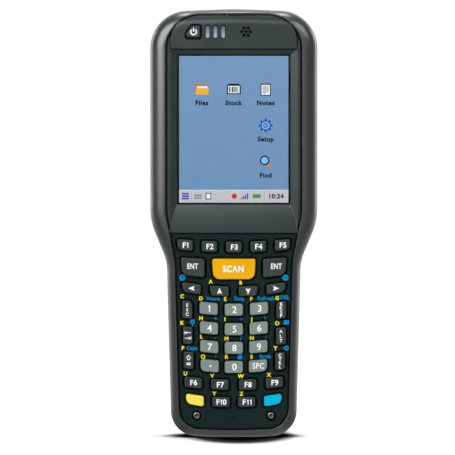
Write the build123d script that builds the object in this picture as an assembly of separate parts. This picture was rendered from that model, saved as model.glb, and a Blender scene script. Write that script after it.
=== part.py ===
"""Portable barcode data terminal: a hand-held computer with a touch screen, a keypad and a scan window.

Frame: millimetres, +Z up along the case, the screen and keys face -Y, +X is to the right as they are read.
The origin is under the middle of the case, on the surface that the case stands on.
"""

import os
from math import acos, copysign, cos, sin, sqrt

from build123d import *

os.makedirs("parts", exist_ok=True)

# ---------------------------------------------------------------- driving dimensions
# Case outline, as seen from the front.
CASE_LENGTH = 194.6  # to the peak of the nose, which CROWN_R rounds off
HEAD_HALF = 38.0  # half width at the screen
SHOULDER_DROP = 1.3  # from the peak to the shoulders
HEAD_CORNER_R = 17.0
CROWN_R = 200.0
WAIST_TOP_Z = 98.3
WAIST_TOP_R = 30.0
GRIP_TOP_HALF = 30.5
GRIP_TOP_Z = 80.4
GRIP_TOP_R = 22.0
GRIP_FOOT_HALF = 28.4
GRIP_FOOT_Z = 1.2
GRIP_FOOT_R = 11.5
FOOT_HALF = 11.0  # half width of the flat that the case stands on
FOOT_R = 80.0

# Depths, along Y.
KEY_TOP_Y = -20.0
CASE_FRONT_Y = -19.4
BEZEL_Y = -19.0
KEYPAD_Y = -18.4
SPLIT_Y = -6.0  # where the front frame meets the rear housing
GRIP_BACK_Y = 12.0
HEAD_BACK_Y = 20.0
NOSE_BACK_Y = 12.5
FRONT_EDGE_R = 6.6
REAR_EDGE_R = 8.0
WALL = 2.4
FRONT_WALL = 3.2  # front face to the inside of the front frame
SEAL_THICK = 0.3
SEAL_INSET = 0.6
SEAL_WIDTH = 1.2

# Rear hump that holds the scan engine.
HUMP_FOOT_Z = 112.0
HUMP_RISE_Z = 128.0
NOSE_SLOPE = 16.6  # height of the sloped top of the hump
HUMP_BLEND_R = 24.0
HUMP_INSET = 5.2  # inset of the inside wall behind the rounded rear edge
HEAD_CAVITY_BACK_Y = 8.0

# Front openings.
SEAM = 0.25  # open seam round a panel that is set into the case
HEAD_RIM = 6.9  # from the side of the head to the panel
NOSE_RIM = 1.7  # from the peak of the nose to the panel
PANEL_TOP_R = 16.0
PANEL_WAIST_Z = 102.0
PANEL_WAIST_R = 20.0
PANEL_FOOT_HALF = 29.3
PANEL_FOOT_Z = 93.0
KEYPAD_RIM = 3.6  # from the side of the grip to the keypad plate
KEYPAD_WAIST_Z = 80.2
KEYPAD_WAIST_R = 25.0
KEYPAD_FOOT_Z = 4.1
KEYPAD_FOOT_R = 9.5
KEYPAD_SAG_Z = 3.2
KEYPAD_SAG_R = 120.0
FLANGE = 1.5  # how far a panel reaches behind the edge of its opening
FLANGE_THICK = 1.5
PLATE_THICK = 1.8
PLATE_RIM = 1.0
FIT = 0.1  # gap between stacked pieces

# Screen and the sloped frame round it.
SIDE_STRIP = 6.15  # from the side of the panel to the lit screen
CHIN_HEIGHT = 13.9
BROW_HEIGHT = 19.3  # from the lit screen to the top of the panel
SCREEN_BORDER = 0.8
SLOPE_WIDTH = 3.0
SLOPE_FOOT_Y = -17.1
SLOPE_TOP_RISE = 2.3
LIP_THICK = 0.6
CHIN_R = 49.5
PANE_MARGIN = 2.5
PANE_THICK = 1.3
LCD_THICK = 2.4

# Brow: power key, lamps and speaker.
BROW_STRIP = 2.4  # from the side of the panel to the brow's raised field
BROW_RISE = 3.4  # from the lit screen to the foot of the raised field
BROW_OVERRUN = 0.5  # the raised field runs out over the top of the panel
BROW_EDGE_R = 13.5
BROW_GROOVE = 0.3  # width of the groove round the raised field
BROW_GROOVE_DEPTH = 0.45
BROW_WALL = 1.8
BROW_POCKET_HALF = 24.0
BROW_RIB = 1.9  # between the glass and the hollow behind the brow
BROW_RIM = 2.0
BROW_ITEM_DROP = 8.2  # from the top of the panel to the middle of the power key, lamps and speaker
POWER_X = -18.45
POWER_HALF = 3.1
POWER_HALF_HEIGHT = 2.7
POWER_CUT = (2.6, 3.6)  # width and height of the slanted corner, beside the curve of the case
LAMP_COUNT = 3
LAMP_X = -8.35
LAMP_PITCH = 3.55
LAMP_WIDTH = 1.6
LAMP_HEIGHT = 5.5
LAMP_CORNER_R = 0.7
LAMP_SINK = 0.05
LAMP_GAP = 0.4  # from the back of a lamp's light pipe to the board
SPEAKER_X = 5.6
SPEAKER_HOLE_R = 0.55
SPEAKER_HOLE_SIDES = 8
SPEAKER_RING_COUNT = 6
SPEAKER_PITCH = 1.9
SPEAKER_R = 5.4
SPEAKER_THICK = 3.0

# Key layout. A row's sag is how fast it rises away from the middle: rise = sag * x * x.
# The keys of each side are (inner X, outer X, inner foot Z, outer foot Z, inner top Z, outer top Z).
F_KEY = (7.1, 4.85)  # width and height
F_PITCH = 11.1
F_ROW_Z = 84.4
F_ROW_SAG = 0.00185
ENTER_KEY = (13.3, 24.1, 72.9, 74.1, 81.4, 82.1)
SCAN_FOOT_HALF = 9.3
SCAN_TOP_HALF = 9.9
SCAN_FOOT_Z = 72.2
SCAN_TOP_Z = 81.5
ARROW_KEY = (8.9, 4.5)
ARROW_XS = (6.7, 19.35)
ARROW_ROW_Z = 64.3
ARROW_ROW_SAG = 0.0038
DIGIT_KEY = (8.2, 5.45)
DIGIT_PITCHES = (11.45, 11.3, 11.15, 10.95)  # the columns close up towards the foot
DIGIT_ROW_ZS = (55.55, 46.65, 38.15, 29.45)
DIGIT_ROW_SAG = 0.0043
ESCAPE_KEY = (18.9, 23.4, 54.1, 54.5, 62.2, 62.6)
TAB_KEY = (18.8, 23.1, 42.5, 42.9, 50.4, 50.8)
SHIFT_KEY = (18.3, 22.8, 31.1, 31.7, 39.0, 39.4)
BACKSPACE_KEY = (19.3, 23.8, 54.1, 54.5, 61.9, 62.3)
ALT_KEY = (19.2, 23.7, 42.3, 42.7, 50.0, 50.4)
CTRL_KEY = (18.8, 23.3, 30.7, 31.3, 38.7, 39.1)
LOW_F_KEY = (7.95, 4.7)
LOW_F_XS = (6.3, 18.45)
LOW_F_ROW_Z = 21.7
LAST_KEY = (7.9, 4.5)
LAST_X = 5.85
LAST_ROW_Z = 13.9
LOW_ROW_SAG = 0.0031
SHADE_KEY = (13.7, 21.7, 14.2, 15.6, 18.9, 20.1)
KEY_CORNER_CUT = 0.6  # a corner with no radius is cut off this far along each side
SOFT_CORNER_R = 2.3  # outer corners of the F, arrow and digit rows
BROAD_CORNER_R = 3.0  # outer corners of the enter, scan and shade keys
F_INSET = 0.35  # how far a key's outer side leans in at its foot
ENTER_INSET = 0.8
ARROW_INSET = 0.8

# Key sections.
KEY_GAP = 0.45
KEY_FLANGE = 0.8
KEY_FLANGE_THICK = 0.7
KEY_CHAMFER = 0.35
KEY_TRAVEL = 1.0
PLUNGER = 2.2
PLUNGER_LENGTH = 1.8
PLUNGER_GAP = 0.3
WELL_DEPTH = 1.75
MAT_THICK = 2.0
MAT_MARGIN = 1.5
MAT_FOOT_Z = 13.3
BOARD_THICK = 1.2
BOARD_GAP = 0.5
BOARD_DROP = 4.6  # from the peak of the nose to the board

# Fasteners.
SCREW_HEAD_R = 1.85
SCREW_HEAD_THICK = 1.3
SCREW_SHANK_R = 1.0
SHANK_SIDES = 8  # a thread and its bore are drawn with flat sides
SCREW_GAP = 0.1
DRIVE_R = 0.8
DRIVE_DEPTH = 0.7
BOSS_HALF = 2.4
FRONT_SCREW_X = 16.9
FRONT_SCREW_Z = 10.0
FRONT_SCREW_LENGTH = 9.0
SCREW_POCKET_R = 2.3
SCREW_POCKET_DEPTH = 1.5
SCREW_POCKET_TIP = 0.6  # the pocket comes to a point this far below its circle
BOSS_BITE = 0.2  # how far a boss runs into the wall beside it
REAR_SCREW_LOW_Z = 134.0
REAR_SCREW_DROP = 20.6  # from the peak of the nose to the upper screws
REAR_SCREW_SEAT_Y = 6.0
REAR_SCREW_LENGTH = 16.0
REAR_POCKET_R = 1.95
MIC_Z = 8.9
MIC_HOLE_R = 0.45
MIC_R = 2.0
MIC_THICK = 2.0

# Battery, its bay and its latch.
BATTERY_HALF = 23.5
BATTERY_FOOT_Z = 17.0
BATTERY_TOP_Z = 100.0
BATTERY_CORNER_R = 4.0
BATTERY_INNER_Y = 1.0
HOOK_X = 14.0
HOOK_HALF = 3.0
HOOK_REACH = 1.2
HOOK_THICK = 2.0
RIDGE_COUNT = 5  # grooves for the thumb, across the top of the battery pack
RIDGE_PITCH = 2.6
RIDGE_HALF = 11.0
RIDGE_WIDTH = 1.1
RIDGE_DEPTH = 0.5
RIDGE_DROP = 6.0
BAY_GAP = 0.3
BAY_WALL = 1.6
LATCH_HALF = 8.0
LATCH_HEIGHT = 5.0
LATCH_TRAVEL = 3.0
LATCH_THICK = 2.0
LATCH_GAP = 0.15
LATCH_WALL = 1.6
LATCH_LIP = 0.8
GROOVE_COUNT = 3
GROOVE_PITCH = 1.3
GROOVE_DEPTH = 0.4
GROOVE_WIDTH = 0.6
GROOVE_MARGIN = 1.0
TONGUE_HALF = 4.0
TONGUE_REACH = 1.2
TONGUE_THICK = 1.2

# Bars for a hand strap, each across a notch in the back.
STRAP_HALF = 12.5
STRAP_BAR_R = 1.2
STRAP_BAR_SEAT = 2.0
STRAP_NOTCH_R = 3.4
STRAP_TOP = (14.6, 120.5)  # (Y, Z) of the upper bar
STRAP_FOOT = (8.6, 9.4)

# Scan window in the nose, the engine behind it, and the dock contacts in the foot.
WINDOW_HALF = 17.0
WINDOW_FRONT_Y = -3.5
WINDOW_BACK_Y = 4.5
WINDOW_THICK = 1.6
WINDOW_CORNER_R = 2.0
WINDOW_LEDGE = 1.2
ENGINE_HALF = 13.0
ENGINE_FRONT_Y = -3.0
ENGINE_BACK_Y = 7.5
ENGINE_HEIGHT = 16.0
ENGINE_SHELF = 1.6
ENGINE_LENS_R = 3.0
ENGINE_LENS_DEPTH = 1.0
DOCK_HALF = 12.0
DOCK_FRONT_Y = -4.0
DOCK_BACK_Y = 1.5
DOCK_HEIGHT = 5.0
DOCK_SINK = 0.15
DOCK_LEDGE = 1.2
PIN_COUNT = 10
PIN_PITCH = 2.1
PIN_WIDTH = 1.1
PIN_DEPTH = 2.6
BATTERY_PIN_COUNT = 4
BATTERY_PIN_PITCH = 4.0
BATTERY_PIN_Z = 22.0

BIG = 400.0  # reaches past the whole case

# ---------------------------------------------------------------- levels that follow from them
PANEL_HALF = HEAD_HALF - HEAD_RIM
PANEL_TOP_Z = CASE_LENGTH - NOSE_RIM
KEYPAD_WAIST_HALF = GRIP_TOP_HALF - KEYPAD_RIM
KEYPAD_FOOT_HALF = GRIP_FOOT_HALF - KEYPAD_RIM
SCREEN_HALF = PANEL_HALF - SIDE_STRIP
SCREEN_FOOT_Z = PANEL_FOOT_Z + CHIN_HEIGHT
SCREEN_TOP_Z = PANEL_TOP_Z - BROW_HEIGHT
BROW_ITEM_Z = PANEL_TOP_Z - BROW_ITEM_DROP
REAR_SCREW_X = HEAD_HALF - WALL - BOSS_HALF + BOSS_BITE
REAR_SCREW_ZS = (REAR_SCREW_LOW_Z, CASE_LENGTH - REAR_SCREW_DROP)

FRAME_BACK_Y = CASE_FRONT_Y + FRONT_WALL
FLANGE_FRONT_Y = FRAME_BACK_Y + FIT
FLANGE_BACK_Y = FLANGE_FRONT_Y + FLANGE_THICK
PLATE_BACK_Y = KEYPAD_Y + PLATE_THICK
PANE_FRONT_Y = SLOPE_FOOT_Y + LIP_THICK
PANE_BACK_Y = PANE_FRONT_Y + PANE_THICK
LCD_BACK_Y = PANE_BACK_Y + FIT + LCD_THICK
MAT_BACK_Y = FLANGE_BACK_Y + MAT_THICK
BOARD_FRONT_Y = max(LCD_BACK_Y, MAT_BACK_Y) + FIT
BOARD_BACK_Y = BOARD_FRONT_Y + BOARD_THICK
BAY_FLOOR_Y = BATTERY_INNER_Y - BAY_GAP
LATCH_FLOOR_Y = GRIP_BACK_Y - LATCH_THICK - LATCH_GAP
LATCH_FOOT_Z = BATTERY_TOP_Z + BAY_GAP + LATCH_WALL + LATCH_GAP
WINDOW_EDGE_HALF = SCREEN_HALF + SCREEN_BORDER


# ---------------------------------------------------------------- helpers
def slab(sketch, front_y, back_y):
    """A sketch drawn as (X, Z), made solid from front_y to back_y."""
    return extrude(Plane.XZ.offset(-back_y) * sketch, back_y - front_y)


def across(sketch, half=BIG):
    """A sketch drawn as (Y, Z), made solid across the case."""
    return extrude(Plane.YZ * sketch, half, both=True)


def upright(sketch):
    """A sketch drawn as (X, Y), made solid along the whole case."""
    return extrude(Plane.XY.offset(-BIG / 2) * sketch, BIG)


def block(x0, x1, y0, y1, z0, z1):
    """A box between two corners."""
    centre = ((x0 + x1) / 2, (y0 + y1) / 2, (z0 + z1) / 2)
    return Pos(*centre) * Box(x1 - x0, y1 - y0, z1 - z0)


def rod(radius, x, z, front_y, back_y):
    """A round bar along Y."""
    return slab(Pos(x, z) * Circle(radius), front_y, back_y)


def thread(radius, x, z, front_y, back_y):
    """A screw's thread, or the bore for it, along Y."""
    return slab(Pos(x, z) * RegularPolygon(radius, SHANK_SIDES), front_y, back_y)


def bar(radius, half, y, z):
    """A round bar along X."""
    return across(Pos(y, z) * Circle(radius), half)


def area(u0, u1, v0, v1):
    """A rectangle between two corners."""
    return Pos((u0 + u1) / 2, (v0 + v1) / 2) * Rectangle(u1 - u0, v1 - v0)


def straight(points):
    """A face with sharp corners."""
    return make_face(Polyline(points, close=True))


def rounded(corners):
    """A face from (u, v, radius) corners."""
    return make_face(FilletPolyline([c[:2] for c in corners], radius=[c[2] for c in corners], close=True))


def mirrored(corners):
    """The corners of a right half, and of the left half that mirrors it. A corner at 0 isn't doubled."""
    return corners + [(-u, v, r) for u, v, r in reversed(corners) if u > 0]


def boss(x, z, front_y, back_y):
    """A square boss for a screw."""
    return slab(Pos(x, z) * Rectangle(2 * BOSS_HALF, 2 * BOSS_HALF), front_y, back_y)


def both_sides(x):
    return (-x, x)


def save(name, shape):
    export_step(shape, f"parts/{name}.step")


# ---------------------------------------------------------------- outlines, seen from the front
def case_outline():
    return rounded(
        mirrored(
            [
                (0, CASE_LENGTH, CROWN_R),
                (HEAD_HALF, CASE_LENGTH - SHOULDER_DROP, HEAD_CORNER_R),
                (HEAD_HALF, WAIST_TOP_Z, WAIST_TOP_R),
                (GRIP_TOP_HALF, GRIP_TOP_Z, GRIP_TOP_R),
                (GRIP_FOOT_HALF, GRIP_FOOT_Z, GRIP_FOOT_R),
                (FOOT_HALF, 0, FOOT_R),
            ]
        )
    )


def inner_outline(inset):
    return offset(case_outline(), -inset)


def panel_outline():
    """The display bezel's opening in the front frame."""
    return rounded(
        mirrored(
            [
                (PANEL_HALF, PANEL_TOP_Z, PANEL_TOP_R),
                (PANEL_HALF, PANEL_WAIST_Z, PANEL_WAIST_R),
                (PANEL_FOOT_HALF, PANEL_FOOT_Z, 0),
            ]
        )
    )


def keypad_outline():
    """The keypad plate's opening in the front frame, which the panel's opening runs into."""
    return rounded(
        mirrored(
            [
                (PANEL_FOOT_HALF, PANEL_FOOT_Z, 0),
                (KEYPAD_WAIST_HALF, KEYPAD_WAIST_Z, KEYPAD_WAIST_R),
                (KEYPAD_FOOT_HALF, KEYPAD_FOOT_Z, KEYPAD_FOOT_R),
                (0, KEYPAD_SAG_Z, KEYPAD_SAG_R),
            ]
        )
    )


def brow_outline():
    """The raised field above the screen."""
    half = PANEL_HALF - BROW_STRIP
    return rounded(
        mirrored([(half, PANEL_TOP_Z + BROW_OVERRUN, BROW_EDGE_R), (half, SCREEN_TOP_Z + BROW_RISE, 0)])
    )


def pane_area(margin=0.0):
    half = WINDOW_EDGE_HALF + PANE_MARGIN + margin
    foot = SCREEN_FOOT_Z - SCREEN_BORDER - PANE_MARGIN - margin
    return area(-half, half, foot, SCREEN_TOP_Z + SCREEN_BORDER + PANE_MARGIN + margin)


def above(z):
    return area(-BIG, BIG, z, z + BIG)


def below(z):
    return area(-BIG, BIG, z - BIG, z)


# ---------------------------------------------------------------- key layout
def row(names, centres, size, foot, sag):
    """Keys along a row that rises away from the middle."""
    width, height = size
    keys = {}
    for name, centre in zip(names, centres):
        left, right = centre - width / 2, centre + width / 2
        left_z, right_z = foot + sag * left**2, foot + sag * right**2
        keys[name] = [
            (left, left_z, 0),
            (right, right_z, 0),
            (right, right_z + height, 0),
            (left, left_z + height, 0),
        ]
    return keys


def side_key(key):
    """A key on the right, with its own heights at its inner and outer side."""
    inner, outer, inner_foot, outer_foot, inner_top, outer_top = key
    return [
        (inner, inner_foot, 0),
        (outer, outer_foot, 0),
        (outer, outer_top, 0),
        (inner, inner_top, 0),
    ]


def flipped(corners):
    """The same key on the other side of the case."""
    return [(-x, z, r) for x, z, r in reversed(corners)]


def spread(pitch, count):
    """Evenly spaced places about the middle."""
    return [(i - (count - 1) / 2) * pitch for i in range(count)]


def shape_corner(corners, index, radius=0, inset=0):
    """Round a corner of a key, and move it towards the middle of the keypad."""
    x, z, _ = corners[index]
    corners[index] = (x - copysign(inset, x), z, radius)


def key_outline(corners):
    """A key's outline from its (X, Z, radius) corners. A corner with no radius is cut off."""
    points = []
    for i, (x, z, radius) in enumerate(corners):
        here = Vector(x, z)
        if radius:
            points.append((x, z, radius))
            continue
        for other in (corners[i - 1], corners[(i + 1) % len(corners)]):
            cut = here + (Vector(other[0], other[1]) - here).normalized() * KEY_CORNER_CUT
            points.append((cut.X, cut.Y, 0))
    return rounded(points)


def key_hole(corners):
    return offset(key_outline(corners), KEY_GAP, kind=Kind.INTERSECTION)


def key_layout():
    """Each key's corners as (X, Z, radius)."""
    keys = row(("f1", "f2", "f3", "f4", "f5"), spread(F_PITCH, 5), F_KEY, F_ROW_Z, F_ROW_SAG)
    keys["enter_right"] = side_key(ENTER_KEY)
    shape_corner(keys["enter_right"], 1, BROAD_CORNER_R, ENTER_INSET)
    keys["enter_left"] = flipped(keys["enter_right"])
    keys["scan"] = [
        (-SCAN_FOOT_HALF, SCAN_FOOT_Z, BROAD_CORNER_R),
        (SCAN_FOOT_HALF, SCAN_FOOT_Z, BROAD_CORNER_R),
        (SCAN_TOP_HALF, SCAN_TOP_Z, 0),
        (-SCAN_TOP_HALF, SCAN_TOP_Z, 0),
    ]
    near, far = ARROW_XS
    arrows = ("left", "up", "down", "right")
    keys |= row(arrows, (-far, -near, near, far), ARROW_KEY, ARROW_ROW_Z, ARROW_ROW_SAG)
    digit_rows = ("1", "2", "3"), ("4", "5", "6"), ("7", "8", "9"), ("dot", "0", "space")
    for names, pitch, foot in zip(digit_rows, DIGIT_PITCHES, DIGIT_ROW_ZS):
        keys |= row(names, spread(pitch, 3), DIGIT_KEY, foot, DIGIT_ROW_SAG)
    for name, corner in (("f1", 0), ("f5", 1)):
        shape_corner(keys[name], corner, SOFT_CORNER_R, F_INSET)
    for name, corner in (("left", 0), ("right", 1)):
        shape_corner(keys[name], corner, SOFT_CORNER_R, ARROW_INSET)
    for name, corner in (("up", 0), ("down", 1)):
        shape_corner(keys[name], corner, inset=ARROW_INSET)
    for name, corner in (("dot", 0), ("space", 1)):
        shape_corner(keys[name], corner, SOFT_CORNER_R)

    keys["escape"] = flipped(side_key(ESCAPE_KEY))
    keys["tab"] = flipped(side_key(TAB_KEY))
    keys["shift"] = flipped(side_key(SHIFT_KEY))
    keys["backspace"] = side_key(BACKSPACE_KEY)
    keys["alt"] = side_key(ALT_KEY)
    keys["ctrl"] = side_key(CTRL_KEY)
    for name, corner in (("escape", 0), ("backspace", 3)):
        shape_corner(keys[name], corner, SOFT_CORNER_R)

    near, far = LOW_F_XS
    keys |= row(("f6", "f7", "f8", "f9"), (-far, -near, near, far), LOW_F_KEY, LOW_F_ROW_Z, LOW_ROW_SAG)
    keys |= row(("f10", "f11"), both_sides(LAST_X), LAST_KEY, LAST_ROW_Z, LOW_ROW_SAG)
    keys["blue"] = side_key(SHADE_KEY)
    shape_corner(keys["blue"], 1, BROAD_CORNER_R)
    keys["yellow"] = flipped(keys["blue"])
    return keys


def key_centre(corners):
    return (sum(c[0] for c in corners) / len(corners), sum(c[1] for c in corners) / len(corners))


def power_corners():
    """The power key's outline: a slanted corner lies beside the curve of the case."""
    cut_width, cut_height = POWER_CUT
    left, right = POWER_X - POWER_HALF, POWER_X + POWER_HALF
    foot, top = BROW_ITEM_Z - POWER_HALF_HEIGHT, BROW_ITEM_Z + POWER_HALF_HEIGHT
    return [
        (left, foot, 0),
        (right, foot, 0),
        (right, top, 0),
        (left + cut_width, top, 0),
        (left, top - cut_height, 0),
    ]


# ---------------------------------------------------------------- case
def front_master():
    """The front half of the case as one solid, before its openings are cut."""
    solid = slab(case_outline(), CASE_FRONT_Y, SPLIT_Y - SEAL_THICK)
    return fillet(solid.faces().sort_by(Axis.Y)[0].edges(), FRONT_EDGE_R)


def back_profile(sink=0.0):
    """The case's back edge as (Y, Z), or a line sunk below it."""
    return rounded(
        [
            (SPLIT_Y - BIG, -BIG, 0),
            (GRIP_BACK_Y - sink, -BIG, 0),
            (GRIP_BACK_Y - sink, HUMP_FOOT_Z + sink, HUMP_BLEND_R),
            (HEAD_BACK_Y - sink, HUMP_RISE_Z + sink, HUMP_BLEND_R),
            (HEAD_BACK_Y - sink, CASE_LENGTH - NOSE_SLOPE - sink, HUMP_BLEND_R),
            (NOSE_BACK_Y - sink, CASE_LENGTH, 0),
            (SPLIT_Y - BIG, CASE_LENGTH, 0),
        ]
    )


def rear_master():
    """The rear half of the case as one solid, before it is hollowed."""
    solid = slab(case_outline(), SPLIT_Y, HEAD_BACK_Y + 1) & across(back_profile())
    rim = []
    for face in solid.faces():
        if face.normal_at().Y > 0.5:
            for edge in face.edges():
                along_x = abs(edge.tangent_at(0.5).X) > 0.98
                if not along_x or not GRIP_FOOT_R < edge.center().Z < CASE_LENGTH - SHOULDER_DROP:
                    rim.append(edge)
    return fillet(rim, REAR_EDGE_R)


def rear_boss_areas(margin=0.0):
    """The bosses that the rear screws pass through."""
    size = 2 * (BOSS_HALF + margin)
    return [Pos(x, z) * Rectangle(size, size) for x in both_sides(REAR_SCREW_X) for z in REAR_SCREW_ZS]


def front_frame(master):
    opening = panel_outline() + keypad_outline()
    solid = master - slab(opening, CASE_FRONT_Y - 1, FRAME_BACK_Y)
    solid -= slab(inner_outline(WALL), FRAME_BACK_Y, SPLIT_Y)
    tip_y = REAR_SCREW_SEAT_Y - REAR_SCREW_LENGTH - SCREW_GAP
    for x in both_sides(REAR_SCREW_X):
        for z in REAR_SCREW_ZS:
            solid += boss(x, z, FRAME_BACK_Y, SPLIT_Y - SEAL_THICK)
            solid -= thread(SCREW_SHANK_R + SCREW_GAP, x, z, tip_y, SPLIT_Y)
    return solid


def screen_pocket():
    """The space in front of the screen: straight slopes at its top and sides, a long curve at the chin."""
    front_y = CASE_FRONT_Y - 1
    reach = (SLOPE_FOOT_Y - front_y) / (SLOPE_FOOT_Y - BEZEL_Y)
    foot_z, top_z = PANEL_FOOT_Z - 1, SCREEN_TOP_Z + SCREEN_BORDER
    slope_top = (front_y, top_z + SLOPE_TOP_RISE * reach)
    side = straight([(SLOPE_FOOT_Y, foot_z), (SLOPE_FOOT_Y, top_z), slope_top, (front_y, foot_z)])
    side -= Pos(BEZEL_Y + CHIN_R, PANEL_FOOT_Z) * Circle(CHIN_R)
    half = WINDOW_EDGE_HALF
    wide = half + SLOPE_WIDTH * reach
    plan = straight([(-half, SLOPE_FOOT_Y), (half, SLOPE_FOOT_Y), (wide, front_y), (-wide, front_y)])
    return across(side) & upright(plan)


def speaker_holes():
    """A ring of holes round a middle one."""
    centre = Pos(SPEAKER_X, BROW_ITEM_Z)
    hole = RegularPolygon(SPEAKER_HOLE_R, SPEAKER_HOLE_SIDES)
    ring = PolarLocations(SPEAKER_PITCH, SPEAKER_RING_COUNT)
    return [centre * hole] + [centre * place * hole for place in ring]


def lamp_slots():
    slot = RectangleRounded(LAMP_WIDTH, LAMP_HEIGHT, LAMP_CORNER_R)
    return [Pos(LAMP_X + x, BROW_ITEM_Z) * slot for x in spread(LAMP_PITCH, LAMP_COUNT)]


def display_bezel(master):
    outline = offset(panel_outline(), -SEAM)
    inside = inner_outline(WALL + FIT)
    solid = master & slab(outline, CASE_FRONT_Y - 1, FRAME_BACK_Y)
    solid += slab(outline & inside, PANE_FRONT_Y, FLANGE_BACK_Y)
    reach = offset(panel_outline(), FLANGE) & inside & above(PANEL_FOOT_Z + SEAM)
    solid += slab(reach - rear_boss_areas(FIT), FLANGE_FRONT_Y, FLANGE_BACK_Y)
    solid -= slab(area(-BIG, BIG, 0, BIG) - brow_outline(), CASE_FRONT_Y - 1, BEZEL_Y)
    solid -= screen_pocket()
    field = brow_outline()
    groove = offset(field, BROW_GROOVE, kind=Kind.INTERSECTION) - field
    solid -= slab(groove, CASE_FRONT_Y - 1, BEZEL_Y + BROW_GROOVE_DEPTH)

    half = WINDOW_EDGE_HALF
    window = area(-half, half, SCREEN_FOOT_Z - SCREEN_BORDER, SCREEN_TOP_Z + SCREEN_BORDER)
    solid -= slab(window, CASE_FRONT_Y, PANE_FRONT_Y)
    solid -= slab(pane_area(FIT), PANE_FRONT_Y, FLANGE_BACK_Y)

    rib_z = SCREEN_TOP_Z + SCREEN_BORDER + PANE_MARGIN + BROW_RIB
    pocket = area(-BROW_POCKET_HALF, BROW_POCKET_HALF, rib_z, PANEL_TOP_Z)
    pocket &= offset(panel_outline(), -BROW_RIM)
    solid -= slab(pocket, CASE_FRONT_Y + BROW_WALL, FLANGE_BACK_Y)
    holes = [key_hole(power_corners())] + lamp_slots() + speaker_holes()
    for hole in holes:
        solid -= slab(hole, CASE_FRONT_Y - 1, FLANGE_BACK_Y)
    for place in rear_boss_areas(FIT):
        solid -= slab(place, FRAME_BACK_Y, FLANGE_BACK_Y)
    return solid


def screw_pocket(x, z):
    """A round pocket that comes to a point below the screw."""
    tip = SCREW_POCKET_R + SCREW_POCKET_TIP
    turn = acos(SCREW_POCKET_R / tip)
    side, drop = SCREW_POCKET_R * sin(turn), SCREW_POCKET_R * cos(turn)
    point = straight([(x - side, z - drop), (x + side, z - drop), (x, z - tip)])
    return point + Pos(x, z) * Circle(SCREW_POCKET_R)


def keypad_plate(keys):
    outline = offset(keypad_outline(), -SEAM)
    inside = offset(outline, -PLATE_RIM)
    face = outline - [key_hole(corners) for corners in keys.values()]
    solid = slab(face, KEYPAD_Y, PLATE_BACK_Y)
    solid += slab(outline - inside, PLATE_BACK_Y, FLANGE_BACK_Y)
    reach = offset(keypad_outline(), FLANGE) & inner_outline(WALL + FIT) & below(PANEL_FOOT_Z - SEAM)
    solid += slab(reach - inside, FLANGE_FRONT_Y, FLANGE_BACK_Y)
    for x in both_sides(FRONT_SCREW_X):
        solid += boss(x, FRONT_SCREW_Z, PLATE_BACK_Y, FLANGE_BACK_Y)
        solid -= slab(screw_pocket(x, FRONT_SCREW_Z), KEYPAD_Y, KEYPAD_Y + SCREW_POCKET_DEPTH)
        solid -= thread(SCREW_SHANK_R + SCREW_GAP, x, FRONT_SCREW_Z, KEYPAD_Y, FLANGE_BACK_Y)
    return solid - rod(MIC_HOLE_R, 0, MIC_Z, KEYPAD_Y, PLATE_BACK_Y)


def bay_outline(margin=0.0):
    width, height = 2 * (BATTERY_HALF + margin), BATTERY_TOP_Z - BATTERY_FOOT_Z + 2 * margin
    middle = (BATTERY_TOP_Z + BATTERY_FOOT_Z) / 2
    return Pos(0, middle) * RectangleRounded(width, height, BATTERY_CORNER_R + margin)


def battery_hooks(margin=0.0):
    """Hooks at the foot of the battery pack, which hold it in its bay."""
    foot = BATTERY_FOOT_Z - HOOK_REACH - margin
    back_y = BATTERY_INNER_Y + HOOK_THICK + margin
    half = HOOK_HALF + margin
    return [
        block(x - half, x + half, BATTERY_INNER_Y - margin, back_y, foot, BATTERY_FOOT_Z + BATTERY_CORNER_R)
        for x in both_sides(HOOK_X)
    ]


def latch_tongue(margin=0.0, top=LATCH_FOOT_Z):
    """The latch's tongue, which reaches into the top of the battery pack."""
    front_y = LATCH_FLOOR_Y + LATCH_GAP
    half = TONGUE_HALF + margin
    foot = BATTERY_TOP_Z - TONGUE_REACH - margin
    return block(-half, half, front_y - margin, front_y + TONGUE_THICK + margin, foot, top)


def latch_recess():
    foot, top = LATCH_FOOT_Z - LATCH_GAP, LATCH_FOOT_Z + LATCH_HEIGHT + LATCH_TRAVEL + LATCH_GAP
    half = LATCH_HALF + LATCH_GAP
    lip_y = LATCH_FLOOR_Y + LATCH_LIP + 2 * LATCH_GAP
    recess = block(-half, half, LATCH_FLOOR_Y, BIG, foot, top)
    return recess + block(-half - LATCH_LIP, half + LATCH_LIP, LATCH_FLOOR_Y, lip_y, foot, top)


def strap_notch(y, z):
    """A channel across the back, open to the rear, with holes for the ends of its bar."""
    channel = bar(STRAP_NOTCH_R, STRAP_HALF, y, z)
    channel += block(-STRAP_HALF, STRAP_HALF, y, BIG, z - STRAP_NOTCH_R, z + STRAP_NOTCH_R)
    return channel + bar(STRAP_BAR_R, STRAP_HALF + STRAP_BAR_SEAT, y, z)


def engine_top():
    drop = CROWN_R - sqrt(CROWN_R**2 - WINDOW_HALF**2)
    return CASE_LENGTH - drop - WALL - WINDOW_THICK - 3 * FIT


def dock_pins():
    """Contact blocks in a row across the foot."""
    middle_y, middle_z = (DOCK_FRONT_Y + DOCK_BACK_Y) / 2, DOCK_SINK + DOCK_HEIGHT / 2
    pin = Box(PIN_WIDTH, PIN_DEPTH, DOCK_HEIGHT)
    return [Pos(x, middle_y, middle_z) * pin for x in spread(PIN_PITCH, PIN_COUNT)]


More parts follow.
